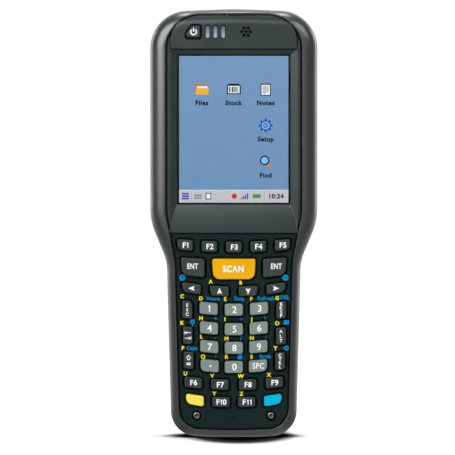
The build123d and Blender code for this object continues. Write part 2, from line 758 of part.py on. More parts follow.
def battery_pins():
    """Contacts that come through the floor of the bay and touch the battery pack."""
    length = BAY_WALL + BAY_GAP
    pin = Box(PIN_WIDTH, length, PIN_DEPTH)
    places = spread(BATTERY_PIN_PITCH, BATTERY_PIN_COUNT)
    return [Pos(x, BATTERY_INNER_Y - length / 2, BATTERY_PIN_Z) * pin for x in places]


def rear_housing(master):
    grip_floor_y = BAY_FLOOR_Y - BAY_WALL
    head_foot_z = BATTERY_TOP_Z + BAY_GAP + BAY_WALL
    inside = inner_outline(WALL)
    solid = master - slab(inside, SPLIT_Y, grip_floor_y)
    solid -= slab(inside & above(head_foot_z), SPLIT_Y, HEAD_CAVITY_BACK_Y)
    hump = slab(inner_outline(HUMP_INSET) & above(HUMP_RISE_Z), SPLIT_Y, HEAD_BACK_Y)
    solid -= hump & across(back_profile(WALL))

    shelf_z = engine_top() - ENGINE_HEIGHT - FIT
    shelf = block(-ENGINE_HALF, ENGINE_HALF, ENGINE_FRONT_Y, HEAD_BACK_Y - 1, shelf_z - ENGINE_SHELF, shelf_z)
    solid += shelf & across(back_profile(FIT))
    for x in both_sides(REAR_SCREW_X):
        for z in REAR_SCREW_ZS:
            solid += boss(x, z, SPLIT_Y, HEAD_CAVITY_BACK_Y + 1)
            solid -= thread(SCREW_SHANK_R + SCREW_GAP, x, z, SPLIT_Y, REAR_SCREW_SEAT_Y)
            solid -= rod(REAR_POCKET_R, x, z, REAR_SCREW_SEAT_Y, HEAD_BACK_Y + 1)
    for x in both_sides(FRONT_SCREW_X):
        tip_y = KEYPAD_Y + SCREW_POCKET_DEPTH + FRONT_SCREW_LENGTH + SCREW_GAP
        solid += boss(x, FRONT_SCREW_Z, FLANGE_BACK_Y + FIT, grip_floor_y + 1)
        solid -= thread(SCREW_SHANK_R + SCREW_GAP, x, FRONT_SCREW_Z, FLANGE_BACK_Y, tip_y)

    solid -= slab(bay_outline(BAY_GAP), BAY_FLOOR_Y, BIG)
    solid -= battery_hooks(BAY_GAP)
    solid -= latch_recess()
    solid -= latch_tongue(LATCH_GAP)
    for y, z in (STRAP_TOP, STRAP_FOOT):
        solid -= strap_notch(y, z)
    solid -= battery_pins()

    middle_y = (WINDOW_FRONT_Y + WINDOW_BACK_Y) / 2
    depth = WINDOW_BACK_Y - WINDOW_FRONT_Y
    plan = Pos(0, middle_y) * RectangleRounded(2 * WINDOW_HALF, depth, WINDOW_CORNER_R)
    solid -= extrude(Plane.XY.offset(engine_top()) * plan, BIG)
    margin = DOCK_LEDGE + FIT
    solid -= block(-DOCK_HALF - FIT, DOCK_HALF + FIT, DOCK_FRONT_Y - FIT, DOCK_BACK_Y + FIT, -1, DOCK_HEIGHT)
    dock_top = DOCK_SINK + DOCK_HEIGHT + FIT
    solid -= block(
        -DOCK_HALF - margin, DOCK_HALF + margin, DOCK_FRONT_Y - margin, DOCK_BACK_Y + margin, WALL, dock_top
    )
    return solid


def case_seal():
    ring = inner_outline(SEAL_INSET) - inner_outline(SEAL_INSET + SEAL_WIDTH)
    return slab(ring, SPLIT_Y - SEAL_THICK, SPLIT_Y)


# ---------------------------------------------------------------- screen, keys and what is behind them
def touch_panel():
    return slab(pane_area(), PANE_FRONT_Y, PANE_BACK_Y)


def lcd_module():
    return slab(pane_area(), PANE_BACK_Y + FIT, LCD_BACK_Y)


def key_solid(corners, flange_room, front_y, flange_y, plunger_length, at=None):
    """A key: a chamfered cap, a flange that keeps it in, and a plunger that works its contact."""
    outline = key_outline(corners)
    cap = slab(outline, front_y, flange_y)
    cap = chamfer(cap.faces().sort_by(Axis.Y)[0].edges(), KEY_CHAMFER)
    flange = offset(outline, KEY_FLANGE, kind=Kind.INTERSECTION) & flange_room
    cap += slab(flange, flange_y, flange_y + KEY_FLANGE_THICK)
    x, z = at or key_centre(corners)
    plunger = Pos(x, z) * Rectangle(PLUNGER, PLUNGER)
    return cap + slab(plunger, flange_y, flange_y + KEY_FLANGE_THICK + plunger_length)


def keypad_key(corners):
    room = offset(keypad_outline(), -SEAM - PLATE_RIM - FIT)
    return key_solid(corners, room, KEY_TOP_Y, PLATE_BACK_Y + FIT, PLUNGER_LENGTH)


def power_key():
    flange_y = CASE_FRONT_Y + BROW_WALL + FIT
    length = BOARD_FRONT_Y - KEY_TRAVEL - PLUNGER_GAP - flange_y - KEY_FLANGE_THICK
    room = offset(panel_outline(), -BROW_RIM - FIT)
    return key_solid(power_corners(), room, CASE_FRONT_Y, flange_y, length, at=(POWER_X, BROW_ITEM_Z))


def keymat(keys):
    """A rubber mat with a well under each key."""
    sheet = offset(keypad_outline(), -MAT_MARGIN) & above(MAT_FOOT_Z)
    half = PLUNGER / 2 + PLUNGER_GAP
    wells = []
    for corners in keys.values():
        x, z = key_centre(corners)
        wells.append(area(x - half, x + half, z - half, z + half))
    floor_y = FLANGE_BACK_Y + WELL_DEPTH
    return slab(sheet - wells, FLANGE_BACK_Y, floor_y) + slab(sheet, floor_y, MAT_BACK_Y)


def main_board():
    sheet = inner_outline(WALL + BOARD_GAP) & above(MAT_FOOT_Z) & below(CASE_LENGTH - BOARD_DROP)
    return slab(sheet - rear_boss_areas(FIT), BOARD_FRONT_Y, BOARD_BACK_Y)


def led_lenses():
    """Light pipes from the board to the brow."""
    front_y = CASE_FRONT_Y + LAMP_SINK
    return [slab(slot, front_y, BOARD_FRONT_Y - LAMP_GAP) for slot in lamp_slots()]


def speaker():
    front_y = CASE_FRONT_Y + BROW_WALL + FIT
    return rod(SPEAKER_R, SPEAKER_X, BROW_ITEM_Z, front_y, front_y + SPEAKER_THICK)


def microphone():
    return rod(MIC_R, 0, MIC_Z, PLATE_BACK_Y, PLATE_BACK_Y + MIC_THICK)


# ---------------------------------------------------------------- power, scanning and contacts
def groove_across(half, z, width, depth):
    """A groove across the back of the grip."""
    return block(-half, half, GRIP_BACK_Y - depth, BIG, z - width / 2, z + width / 2)


def battery_pack(master):
    solid = master & slab(bay_outline(), BATTERY_INNER_Y, BIG)
    for hook in battery_hooks():
        solid += hook
    for rise in spread(RIDGE_PITCH, RIDGE_COUNT):
        z = BATTERY_TOP_Z - RIDGE_DROP - RIDGE_PITCH * (RIDGE_COUNT - 1) / 2 + rise
        solid -= groove_across(RIDGE_HALF, z, RIDGE_WIDTH, RIDGE_DEPTH)
    return solid - latch_tongue(LATCH_GAP, top=BATTERY_TOP_Z + 1)


def battery_latch():
    front_y = LATCH_FLOOR_Y + LATCH_GAP
    top = LATCH_FOOT_Z + LATCH_HEIGHT
    solid = block(-LATCH_HALF, LATCH_HALF, front_y, GRIP_BACK_Y, LATCH_FOOT_Z, top)
    lip_half = LATCH_HALF + LATCH_LIP
    solid += block(-lip_half, lip_half, front_y, front_y + LATCH_LIP, LATCH_FOOT_Z, top)
    solid += latch_tongue(top=LATCH_FOOT_Z + 1)
    for drop in spread(GROOVE_PITCH, GROOVE_COUNT):
        z = (LATCH_FOOT_Z + top) / 2 + drop
        solid -= groove_across(LATCH_HALF - GROOVE_MARGIN, z, GROOVE_WIDTH, GROOVE_DEPTH)
    return solid


def scan_window():
    """A curved pane under the crown of the nose."""
    outer = WALL + FIT
    ring = inner_outline(outer) - inner_outline(outer + WINDOW_THICK)
    half = WINDOW_HALF + WINDOW_LEDGE
    strip = ring & area(-half, half, CASE_LENGTH / 2, CASE_LENGTH)
    return slab(strip, WINDOW_FRONT_Y - WINDOW_LEDGE, WINDOW_BACK_Y + WINDOW_LEDGE)


def scan_engine():
    top = engine_top()
    solid = block(-ENGINE_HALF, ENGINE_HALF, ENGINE_FRONT_Y, ENGINE_BACK_Y, top - ENGINE_HEIGHT, top)
    middle_y = (WINDOW_FRONT_Y + WINDOW_BACK_Y) / 2
    for x in both_sides(ENGINE_HALF / 2):
        solid -= Pos(x, middle_y, top) * Cylinder(ENGINE_LENS_R, 2 * ENGINE_LENS_DEPTH)
    return solid


def dock_connector():
    top = DOCK_SINK + DOCK_HEIGHT
    solid = block(-DOCK_HALF, DOCK_HALF, DOCK_FRONT_Y, DOCK_BACK_Y, DOCK_SINK, top)
    half = DOCK_HALF + DOCK_LEDGE
    solid += block(-half, half, DOCK_FRONT_Y - DOCK_LEDGE, DOCK_BACK_Y + DOCK_LEDGE, WALL + FIT, top)
    return solid - dock_pins()


def screw(length):
    """A screw along +Y with the underside of its head at the origin."""
    solid = slab(Circle(SCREW_HEAD_R), -SCREW_HEAD_THICK, 0) + thread(SCREW_SHANK_R, 0, 0, 0, length)
    return solid - slab(RegularPolygon(DRIVE_R, 6), -SCREW_HEAD_THICK, DRIVE_DEPTH - SCREW_HEAD_THICK)


def front_screws():
    seat_y = KEYPAD_Y + SCREW_POCKET_DEPTH
    return [Pos(x, seat_y, FRONT_SCREW_Z) * screw(FRONT_SCREW_LENGTH) for x in both_sides(FRONT_SCREW_X)]


def rear_screws():
    solid = Rot(0, 0, 180) * screw(REAR_SCREW_LENGTH)
    return [Pos(x, REAR_SCREW_SEAT_Y, z) * solid for x in both_sides(REAR_SCREW_X) for z in REAR_SCREW_ZS]


def strap_bars():
    return [bar(STRAP_BAR_R, STRAP_HALF + STRAP_BAR_SEAT, y, z) for y, z in (STRAP_TOP, STRAP_FOOT)]


# ---------------------------------------------------------------- output
def main():
    keys = key_layout()
    front, rear = front_master(), rear_master()
    save("front_frame", front_frame(front))
    save("display_bezel", display_bezel(front))
    save("keypad_plate", keypad_plate(keys))
    save("rear_housing", rear_housing(rear))
    save("case_seal", case_seal())
    save("touch_panel", touch_panel())
    save("lcd_module", lcd_module())
    for name, corners in keys.items():
        save(f"key_{name}", keypad_key(corners))
    save("key_power", power_key())
    save("keymat", keymat(keys))
    save("main_board", main_board())
    save("led_lenses", Compound(children=led_lenses()))
    save("speaker", speaker())
    save("microphone", microphone())
    save("battery_pack", battery_pack(rear))
    save("battery_latch", battery_latch())
    save("scan_window", scan_window())
    save("scan_engine", scan_engine())
    save("dock_connector", dock_connector())
    save("contact_pins", Compound(children=dock_pins() + battery_pins()))
    save("front_screws", Compound(children=front_screws()))
    save("rear_screws", Compound(children=rear_screws()))
    save("strap_bars", Compound(children=strap_bars()))


main()
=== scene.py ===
"""Looks of the barcode data terminal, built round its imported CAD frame.

Lengths are in millimetres and angles in degrees, unless they say otherwise.
"""

from math import atan2, copysign, cos, pi, radians, sin

import bmesh
import bpy
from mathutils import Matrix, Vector

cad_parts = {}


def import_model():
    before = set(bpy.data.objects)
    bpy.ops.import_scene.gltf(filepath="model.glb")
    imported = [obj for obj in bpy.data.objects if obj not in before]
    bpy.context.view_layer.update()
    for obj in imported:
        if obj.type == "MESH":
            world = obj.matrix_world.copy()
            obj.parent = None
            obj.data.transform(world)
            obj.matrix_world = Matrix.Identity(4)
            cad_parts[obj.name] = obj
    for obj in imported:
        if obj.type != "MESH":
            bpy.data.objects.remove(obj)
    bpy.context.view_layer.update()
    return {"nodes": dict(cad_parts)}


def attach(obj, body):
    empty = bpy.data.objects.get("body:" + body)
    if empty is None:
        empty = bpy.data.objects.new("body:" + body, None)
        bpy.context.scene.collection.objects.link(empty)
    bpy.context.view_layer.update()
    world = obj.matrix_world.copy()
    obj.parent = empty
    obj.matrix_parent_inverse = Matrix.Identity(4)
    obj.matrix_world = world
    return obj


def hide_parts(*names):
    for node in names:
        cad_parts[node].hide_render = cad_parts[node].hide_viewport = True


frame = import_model()
nodes = frame["nodes"]
MM = 0.001

# ---------------------------------------------------------------- levels and sizes of the CAD part
KEY_TOP_Y = -20.0
BROW_Y = -19.4
BEZEL_Y = -19.0
KEYPAD_Y = -18.4
CAP_FOOT_Y = -16.5
POWER_FOOT_Y = -17.5
PANE_BACK_Y = -15.2
FLANGE_THICK = 0.7
FLANGE_REACH = 0.8
KEY_GAP = 0.45
SEAM = 0.25
SCREEN_HALF = 24.83
SCREEN_FOOT_Z = 106.9
SCREEN_TOP_Z = 173.6
BROW_ITEM_Z = 184.7
POWER_X = -18.45
POWER_HALF = 3.1
POWER_HALF_HEIGHT = 2.7
POWER_CUT = (2.6, 3.6)  # width and height of the slanted corner
LAMP_X = -8.35
LAMP_PITCH = 3.55
LAMP_COUNT = 3
LAMP_WIDTH = 1.6
LAMP_HEIGHT = 5.5
SPEAKER_X = 5.6
SPEAKER_PITCH = 1.9  # from the middle hole to the ring of holes
SPEAKER_RING_COUNT = 6
SPEAKER_HOLE_R = 0.5
SCREW_X = 16.9
SCREW_Z = 10.0


def metres(x, y, z):
    return Vector((x * MM, y * MM, z * MM))


def both_sides(x):
    return -x, x


def spread(pitch, count):
    return [(i - (count - 1) / 2) * pitch for i in range(count)]


def turned(points, angle):
    c, s = cos(radians(angle)), sin(radians(angle))
    return [(x * c - z * s, x * s + z * c) for x, z in points]


def polygon(radius, sides):
    """Points of a regular polygon."""
    return [(radius * cos(2 * pi * i / sides), radius * sin(2 * pi * i / sides)) for i in range(sides)]


def put(name, data):
    """An object in the scene."""
    made = bpy.data.objects.new(name, data)
    bpy.context.scene.collection.objects.link(made)
    return made


def skin(bm, rings):
    """Faces between rings of as many points, with a lid on each end."""
    for low, high in zip(rings, rings[1:]):
        for i in range(len(low)):
            j = (i + 1) % len(low)
            bm.faces.new((low[i], low[j], high[j], high[i]))
    bm.faces.new(rings[0][::-1])
    bm.faces.new(rings[-1])


def closed_piece(name, bm, material, sharp=None):
    """An object with a closed mesh. It may be smooth apart from edges sharper than an angle."""
    bmesh.ops.recalc_face_normals(bm, faces=bm.faces)
    mesh = bpy.data.meshes.new(name)
    bm.to_mesh(mesh)
    bm.free()
    if sharp:
        for face in mesh.polygons:
            face.use_smooth = True
        mesh.set_sharp_from_angle(angle=radians(sharp))
    mesh.materials.append(material)
    return put(name, mesh)


# ---------------------------------------------------------------- shader nodes
def srgb(r, g, b):
    """A linear colour from 0-255 display values."""
    def linear(c):
        c /= 255
        return c / 12.92 if c <= 0.04045 else ((c + 0.055) / 1.055) ** 2.4
    return (linear(r), linear(g), linear(b), 1.0)


def scaled(colour, share):
    return tuple(min(c * share, 1.0) for c in colour[:3]) + (1.0,)


def grey(level):
    return (level, level, level, 1.0)


def set_inputs(tree, node, inputs):
    """Links a node's inputs to sockets, or sets them to values."""
    for name, value in inputs.items():
        if isinstance(value, bpy.types.NodeSocket):
            tree.links.new(value, node.inputs[name])
        else:
            node.inputs[name].default_value = value


def add(tree, kind, inputs=None, **props):
    """A shader node with its inputs linked or set."""
    made = tree.nodes.new(kind)
    for name, value in props.items():
        setattr(made, name, value)
    set_inputs(tree, made, inputs or {})
    return made


def ramp(tree, source, stops):
    """A colour ramp of (position, colour) stops."""
    made = add(tree, "ShaderNodeValToRGB", {"Fac": source})
    elements = made.color_ramp.elements
    while len(elements) < len(stops):
        elements.new(0.5)
    for element, (position, colour) in zip(elements, stops):
        element.position, element.color = position, colour
    return made.outputs["Color"]


def remap(tree, source, low, high, to_low=0.0, to_high=1.0):
    inputs = {"Value": source, "From Min": low, "From Max": high, "To Min": to_low, "To Max": to_high}
    return add(tree, "ShaderNodeMapRange", inputs).outputs["Result"]


def mixed(tree, factor, a, b, blend="MIX"):
    """Two colours mixed."""
    inputs = {0: factor, 6: a, 7: b}
    return add(tree, "ShaderNodeMix", inputs, data_type="RGBA", blend_type=blend).outputs[2]


def chosen(tree, switch, off, on):
    """One number or another, by a switch of 0 or 1."""
    return add(tree, "ShaderNodeMix", {0: switch, 2: off, 3: on}, data_type="FLOAT").outputs[0]


def maths(tree, operation, *values):
    return add(tree, "ShaderNodeMath", dict(enumerate(values)), operation=operation).outputs[0]


def vector_maths(tree, operation, *values, output="Vector"):
    made = add(tree, "ShaderNodeVectorMath", dict(enumerate(values)), operation=operation)
    return made.outputs[output]


def axis(tree, vector, name):
    """A vector's X, Y or Z."""
    return add(tree, "ShaderNodeSeparateXYZ", {"Vector": vector}).outputs[name]


def noise(tree, place, size, detail=2.0, rough=0.5):
    """Noise whose grains are about size millimetres."""
    inputs = {"Vector": place, "Scale": 1 / (size * MM), "Detail": detail, "Roughness": rough}
    return add(tree, "ShaderNodeTexNoise", inputs).outputs["Fac"]


def openness(tree, distance, samples=8):
    """1 in the open, less in corners and gaps."""
    inputs = {"Distance": distance * MM}
    return add(tree, "ShaderNodeAmbientOcclusion", inputs, samples=samples).outputs["AO"]


def embossed(tree, height, edge, strength, depth):
    """The normal over edges rounded by a radius, and the same with a height raised on it."""
    soft = add(tree, "ShaderNodeBevel", {"Radius": edge * MM}, samples=4).outputs["Normal"]
    inputs = {"Height": height, "Normal": soft, "Strength": strength, "Distance": depth * MM}
    return soft, add(tree, "ShaderNodeBump", inputs).outputs["Normal"]


def new_material(name):
    """A material, its tree and shader, and a place in the object's frame."""
    material = bpy.data.materials.new(name)
    material.use_nodes = True
    tree = material.node_tree
    place = add(tree, "ShaderNodeTexCoord").outputs["Object"]
    return material, tree, tree.nodes["Principled BSDF"], place


# ---------------------------------------------------------------- materials
def plastic(name, colour, roughness=0.5, specular=0.5, grain=0.35, depth=0.02, speck=0.1,
            wear_and_sheen=0.35, edge=0.15, shade_depth=0.6, near=1.1, shade_end=0.85):
    """Moulded plastic with a spark-eroded grain, uneven colour and gloss, pale scuffed edges that are
    partly painted highlights, and painted shade in its gaps.

    Speck is the contrast of the grains and edge the radius of the edges. Near is how far from a wall the
    painted shade reaches, and the last argument the openness at which it ends.
    """
    material, tree, shader, place = new_material(name)
    fine = noise(tree, place, grain, 3.0, 0.6)
    broad = noise(tree, place, 14.0, 1.0, 0.4)
    base = ramp(tree, broad, [(0.2, scaled(colour, 0.92)), (0.8, scaled(colour, 1.08))])
    dots = ramp(tree, fine, [(0.32, grey(1 - speck)), (0.68, grey(1 + speck))])
    grained = mixed(tree, 1.0, base, dots, "MULTIPLY")

    soft, bumped = embossed(tree, fine, edge, 1.0, depth)
    true = add(tree, "ShaderNodeNewGeometry").outputs["Normal"]
    # Paler edges: partly scuffing, and partly painted highlights along the edges.
    along = vector_maths(tree, "DOT_PRODUCT", soft, true, output="Value")
    patches = remap(tree, noise(tree, place, 3.0, 1.0), 0.25, 0.75, 0.25, 1.0)
    rubbed_and_sheen = maths(tree, "MULTIPLY", remap(tree, along, 0.995, 0.86, 0.0, wear_and_sheen), patches)
    worn_and_sheen = tuple(c * 0.5 + 0.5 * d for c, d in zip(scaled(colour, 1.6), srgb(140, 142, 138)))
    # Painted shade: darker in gaps and corners, where the surface is less open.
    painted_shade = remap(tree, openness(tree, near), 0.35, shade_end, shade_depth, 0.0)
    shade = mixed(tree, painted_shade, mixed(tree, rubbed_and_sheen, grained, worn_and_sheen), scaled(colour, 0.12))

    swell = noise(tree, place, 22.0, 1.0, 0.4)
    gloss = remap(tree, swell, 0.2, 0.8, roughness - 0.05, roughness + 0.05)
    set_inputs(tree, shader, {
        "Base Color": shade, "Roughness": gloss, "Normal": bumped, "Specular IOR Level": specular,
    })
    return material


def clear(name, colour, roughness=0.02, tint=0.0, ior=1.49):
    """Glass or clear acrylic, with faint smears in its gloss."""
    material, tree, shader, place = new_material(name)
    smears = noise(tree, place, 9.0, 4.0, 0.6)
    set_inputs(tree, shader, {
        "Base Color": ramp(tree, smears, [(0.3, scaled(colour, 0.97)), (0.7, colour)]),
        "Roughness": remap(tree, smears, 0.3, 0.7, roughness, roughness + 0.02),
        "IOR": ior, "Transmission Weight": 1.0 - tint,
    })
    return material


def metal(name, colour, roughness):
    """Bare metal with fine machining marks, small stains and painted shade in its hollows."""
    material, tree, shader, place = new_material(name)
    stains = noise(tree, place, 1.2, 4.0, 0.6)
    bright = ramp(tree, stains, [(0.3, scaled(colour, 0.75)), (0.7, colour)])
    # Painted shade: darker in the socket and in other hollows.
    painted_shade = remap(tree, openness(tree, 0.8), 0.25, 0.7, 0.9, 0.0)
    _, bumped = embossed(tree, noise(tree, place, 0.2), 0.12, 0.6, 0.01)
    set_inputs(tree, shader, {
        "Base Color": mixed(tree, painted_shade, bright, scaled(colour, 0.08)),
        "Roughness": remap(tree, stains, 0.3, 0.7, roughness + 0.12, roughness),
        "Normal": bumped, "Metallic": 1.0,
    })
    return material


def milky_lens(name):
    """The end of a light pipe, with painted shade that darkens it towards its top."""
    material, tree, shader, place = new_material(name)
    foot, top = BROW_ITEM_Z - LAMP_HEIGHT / 2, BROW_ITEM_Z + LAMP_HEIGHT / 2
    # Painted shade: the lens grows darker towards its top, as under a hood.
    painted_top_shade = ramp(tree, remap(tree, axis(tree, place, "Z"), foot * MM, top * MM), [
        (0.0, srgb(205, 218, 226)), (0.35, srgb(160, 182, 198)),
        (0.8, srgb(110, 132, 150)), (1.0, srgb(60, 74, 84)),
    ])
    cloud = remap(tree, noise(tree, place, 0.5, 3.0), 0.3, 0.7, 0.0, 0.12)
    set_inputs(tree, shader, {
        "Base Color": mixed(tree, cloud, painted_top_shade, srgb(235, 240, 244)),
        "Roughness": 0.25, "IOR": 1.49, "Transmission Weight": 0.25, "Coat Weight": 0.6,
    })
    return material


def glowing(name, colour, lighter=None):
    """A lit patch of the screen, with uneven pixels. It may shade to a lighter colour upwards."""
    material, tree, shader, place = new_material(name)
    cells = noise(tree, place, 0.22, 1.0)
    shade = ramp(tree, cells, [(0.3, scaled(colour, 0.96)), (0.7, scaled(colour, 1.04))])
    if lighter:
        rise = remap(tree, axis(tree, place, "Z"), SCREEN_FOOT_Z * MM, SCREEN_TOP_Z * MM)
        shade = mixed(tree, rise, shade, lighter)
    set_inputs(tree, shader, {
        "Emission Color": shade, "Emission Strength": 1.03,
        "Base Color": grey(0.0), "Roughness": 0.6, "Specular IOR Level": 0.0,
    })
    return material


def ink(name, colour, roughness=0.55, specular=0.05):
    """Printed paint with an uneven coat."""
    material, tree, shader, place = new_material(name)
    coat = noise(tree, place, 0.35, 4.0, 0.65)
    set_inputs(tree, shader, {
        "Base Color": ramp(tree, coat, [(0.3, scaled(colour, 0.86)), (0.6, colour)]),
        "Roughness": remap(tree, coat, 0.3, 0.7, roughness + 0.1, roughness - 0.1),
        "Specular IOR Level": specular,
    })
    return material


KEY_GRAIN = {"grain": 0.28, "depth": 0.005}
MATERIALS = {
    "case": plastic("case_plastic", srgb(46, 53, 50), 0.33, 0.7, depth=0.004, edge=0.8, wear_and_sheen=0.08,
                    shade_depth=0.25),
    "bezel": plastic("bezel_plastic", srgb(41, 52, 51), 0.33, 0.4, depth=0.004, edge=0.45, wear_and_sheen=0.1),
    # The plate's painted shade is deep and reaches far, as dark rings round its keys.
    "plate": plastic("plate_plastic", srgb(18, 37, 36), 0.42, 0.07, depth=0.012, edge=0.25, wear_and_sheen=0.1,
                     speck=0.14, shade_depth=1.0, near=1.7, shade_end=0.97),
    "glass": clear("screen_glass", (0.98, 0.99, 1.0, 1.0), ior=1.2),  # coated against glare
    "screen": plastic("lcd_frame", srgb(3, 4, 4), 0.6, 0.1, wear_and_sheen=0.0),
    "lamp": milky_lens("lamp_lens"),
    "mat": plastic("mat_rubber", srgb(20, 22, 22), 0.7, 0.2, wear_and_sheen=0.0),
    "seal": plastic("seal_rubber", srgb(14, 15, 14), 0.75, 0.15, depth=0.01, wear_and_sheen=0.0),
    "board": plastic("board_resin", srgb(24, 74, 44), 0.4, 0.5, grain=0.8, wear_and_sheen=0.2),
    "battery": plastic("battery_plastic", srgb(54, 60, 57), 0.5, 0.4, grain=0.5, depth=0.03),
    "latch": plastic("latch_plastic", srgb(28, 33, 32), 0.5, 0.4, wear_and_sheen=0.4),
    "window": clear("window_acrylic", srgb(120, 20, 22), 0.03, 0.15),
    "engine": plastic("engine_body", srgb(20, 21, 23), 0.45, 0.4, wear_and_sheen=0.2),
    "transducer": plastic("transducer_cloth", srgb(20, 21, 21), 0.8, 0.1, grain=0.25, depth=0.03, wear_and_sheen=0.0),
    "steel": metal("screw_steel", srgb(112, 110, 104), 0.3),
    "connector": plastic("connector_plastic", srgb(20, 21, 21), 0.5, 0.4, wear_and_sheen=0.2),
    "contact": metal("contact_gold", srgb(222, 184, 96), 0.25),
    "dark_key": plastic("dark_key_cap", srgb(44, 55, 55), 0.4, 0.3, wear_and_sheen=0.25, **KEY_GRAIN),
    "grey_key": plastic("grey_key_cap", srgb(124, 136, 131), 0.42, 0.25, wear_and_sheen=0.25, **KEY_GRAIN),
    "orange_key": plastic("orange_key_cap", srgb(228, 168, 4), 0.42, 0.1, wear_and_sheen=0.1, **KEY_GRAIN),
    "yellow_key": plastic("yellow_key_cap", srgb(238, 218, 82), 0.42, 0.18, wear_and_sheen=0.1, **KEY_GRAIN),
    "blue_key": plastic("blue_key_cap", srgb(0, 176, 212), 0.42, 0.05, wear_and_sheen=0.1, **KEY_GRAIN),
}
WHITE = ink("white_ink", srgb(250, 251, 249), specular=0.3)
# Black ink for the screen's border, and painted shade in seams, grooves and round openings.
BLACK_INK_AND_PAINTED_SHADE = ink("black_ink_and_painted_shade", srgb(4, 6, 6), roughness=0.6)
YELLOW = ink("yellow_ink", srgb(255, 236, 52))
BLUE = ink("blue_ink", srgb(0, 140, 198))

for cad_node in nodes.values():
    for slot in cad_node.material_slots:
        slot.material = MATERIALS[slot.material.name.split(".")[0]]


# ---------------------------------------------------------------- flat shapes laid on a surface
PRINT_PROUD = 0.02  # how far a print's front is off its surface
PRINT_SINK = 0.03  # how far its back is in it
CAPITAL_HEIGHT = 0.682  # height of a capital in the font, for a size of 1
GLYPH_WIDTHS = {"F": 0.533, "0": 0.645, "1": 0.32}  # for a height of 1
FLAGGED_ONE = [(0.13, 0.0), (0.32, 0.0), (0.32, 1.0), (0.17, 1.0), (0.0, 0.86), (0.0, 0.68), (0.13, 0.78)]


class Print:
    """Closed flat shapes, gathered in one mesh and laid on a surface that faces -Y."""

    def __init__(self, surface):
        """The surface is its Y, or a function that gives its Y at (x, z)."""
        self.surface = surface if callable(surface) else lambda x, z: surface
        self.bm = bmesh.new()

    def _lay(self, verts, u, v):
        for vert in verts:
            x, z = vert.co.x + u, vert.co.y + v
            shift = -PRINT_PROUD if vert.co.z > 0 else PRINT_SINK
            vert.co = metres(x, self.surface(x, z) + shift, z)

    def shape(self, points, u=0.0, v=0.0):
        """A polygon of (x, z) points, anticlockwise, moved by (u, v)."""
        front = [self.bm.verts.new((x, z, 1)) for x, z in points]
        back = [self.bm.verts.new((x, z, -1)) for x, z in points]
        skin(self.bm, [back, front])
        self._lay(front + back, u, v)

    def box(self, x0, x1, z0, z1):
        self.shape([(x0, z0), (x1, z0), (x1, z1), (x0, z1)])

    def disc(self, x, z, radius, sides=20):
        self.shape(polygon(radius, sides), x, z)

    def band(self, x, z, inner, outer, start=0, turn=360, steps=24):
        """A ring, or part of one, from start degrees on through turn degrees."""
        for i in range(steps):
            a, b = (radians(start + turn * k / steps) for k in (i, i + 1))
            corners = (inner, a), (outer, a), (outer, b), (inner, b)
            self.shape([(x + r * cos(t), z + r * sin(t)) for r, t in corners])

    def text(self, words, x, z, height, bold=0.0, squeeze=1.0, spacing=1.0):
        """Words with capitals of that height, centred on a point."""
        curve = bpy.data.curves.new("words", "FONT")
        curve.body, curve.size, curve.extrude = words, height / CAPITAL_HEIGHT, 0.5
        curve.offset, curve.resolution_u, curve.space_character = bold * curve.size, 3, spacing
        holder = put("words", curve)
        bpy.context.view_layer.update()
        mesh = bpy.data.meshes.new_from_object(holder.evaluated_get(bpy.context.evaluated_depsgraph_get()))
        known = set(self.bm.verts)
        self.bm.from_mesh(mesh)
        fresh = [vert for vert in self.bm.verts if vert not in known]
        bmesh.ops.remove_doubles(self.bm, verts=fresh, dist=1e-5)
        fresh = [vert for vert in self.bm.verts if vert not in known]
        for vert in fresh:
            vert.co.x *= squeeze
        low, high = min(vert.co.x for vert in fresh), max(vert.co.x for vert in fresh)
        self._lay(fresh, x - (low + high) / 2, z - height / 2)
        bpy.data.objects.remove(holder)
        bpy.data.curves.remove(curve)
        bpy.data.meshes.remove(mesh)

    def figures(self, words, x, z, height, bold, gap):
        """Letters and figures set one by one, with a flag on each 1."""
        widths = [GLYPH_WIDTHS[letter] * height for letter in words]
        left = x - (sum(widths) + gap * height * (len(words) - 1)) / 2
        for letter, width in zip(words, widths):
            if letter == "1":
                self.shape([(left + u * height, z + (v - 0.5) * height) for u, v in FLAGGED_ONE])
            else:
                self.text(letter, left + width / 2, z, height, bold)
            left += width + gap * height

    def column(self, words, x, z, height, pitch, bold):
        """Letters one above the other, centred on a point."""
        for letter, drop in zip(words, spread(pitch, len(words))):
            self.text(letter, x, z - drop, height, bold)

    def ribbon(self, points, inner, outer):
        """A strip beside a line of points, between two distances to its right."""
        sides = []
        for i, point in enumerate(points):
            along = points[min(i + 1, len(points) - 1)] - points[max(i - 1, 0)]
            across = Vector((along.y, -along.x)).normalized()
            sides.append([point + across * reach for reach in (inner, outer)])
        for (a, b), (c, d) in zip(sides, sides[1:]):
            self.shape([a, b, d, c])

    def finish(self, name, material, body="root"):
        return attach(closed_piece(name, self.bm, material), body)


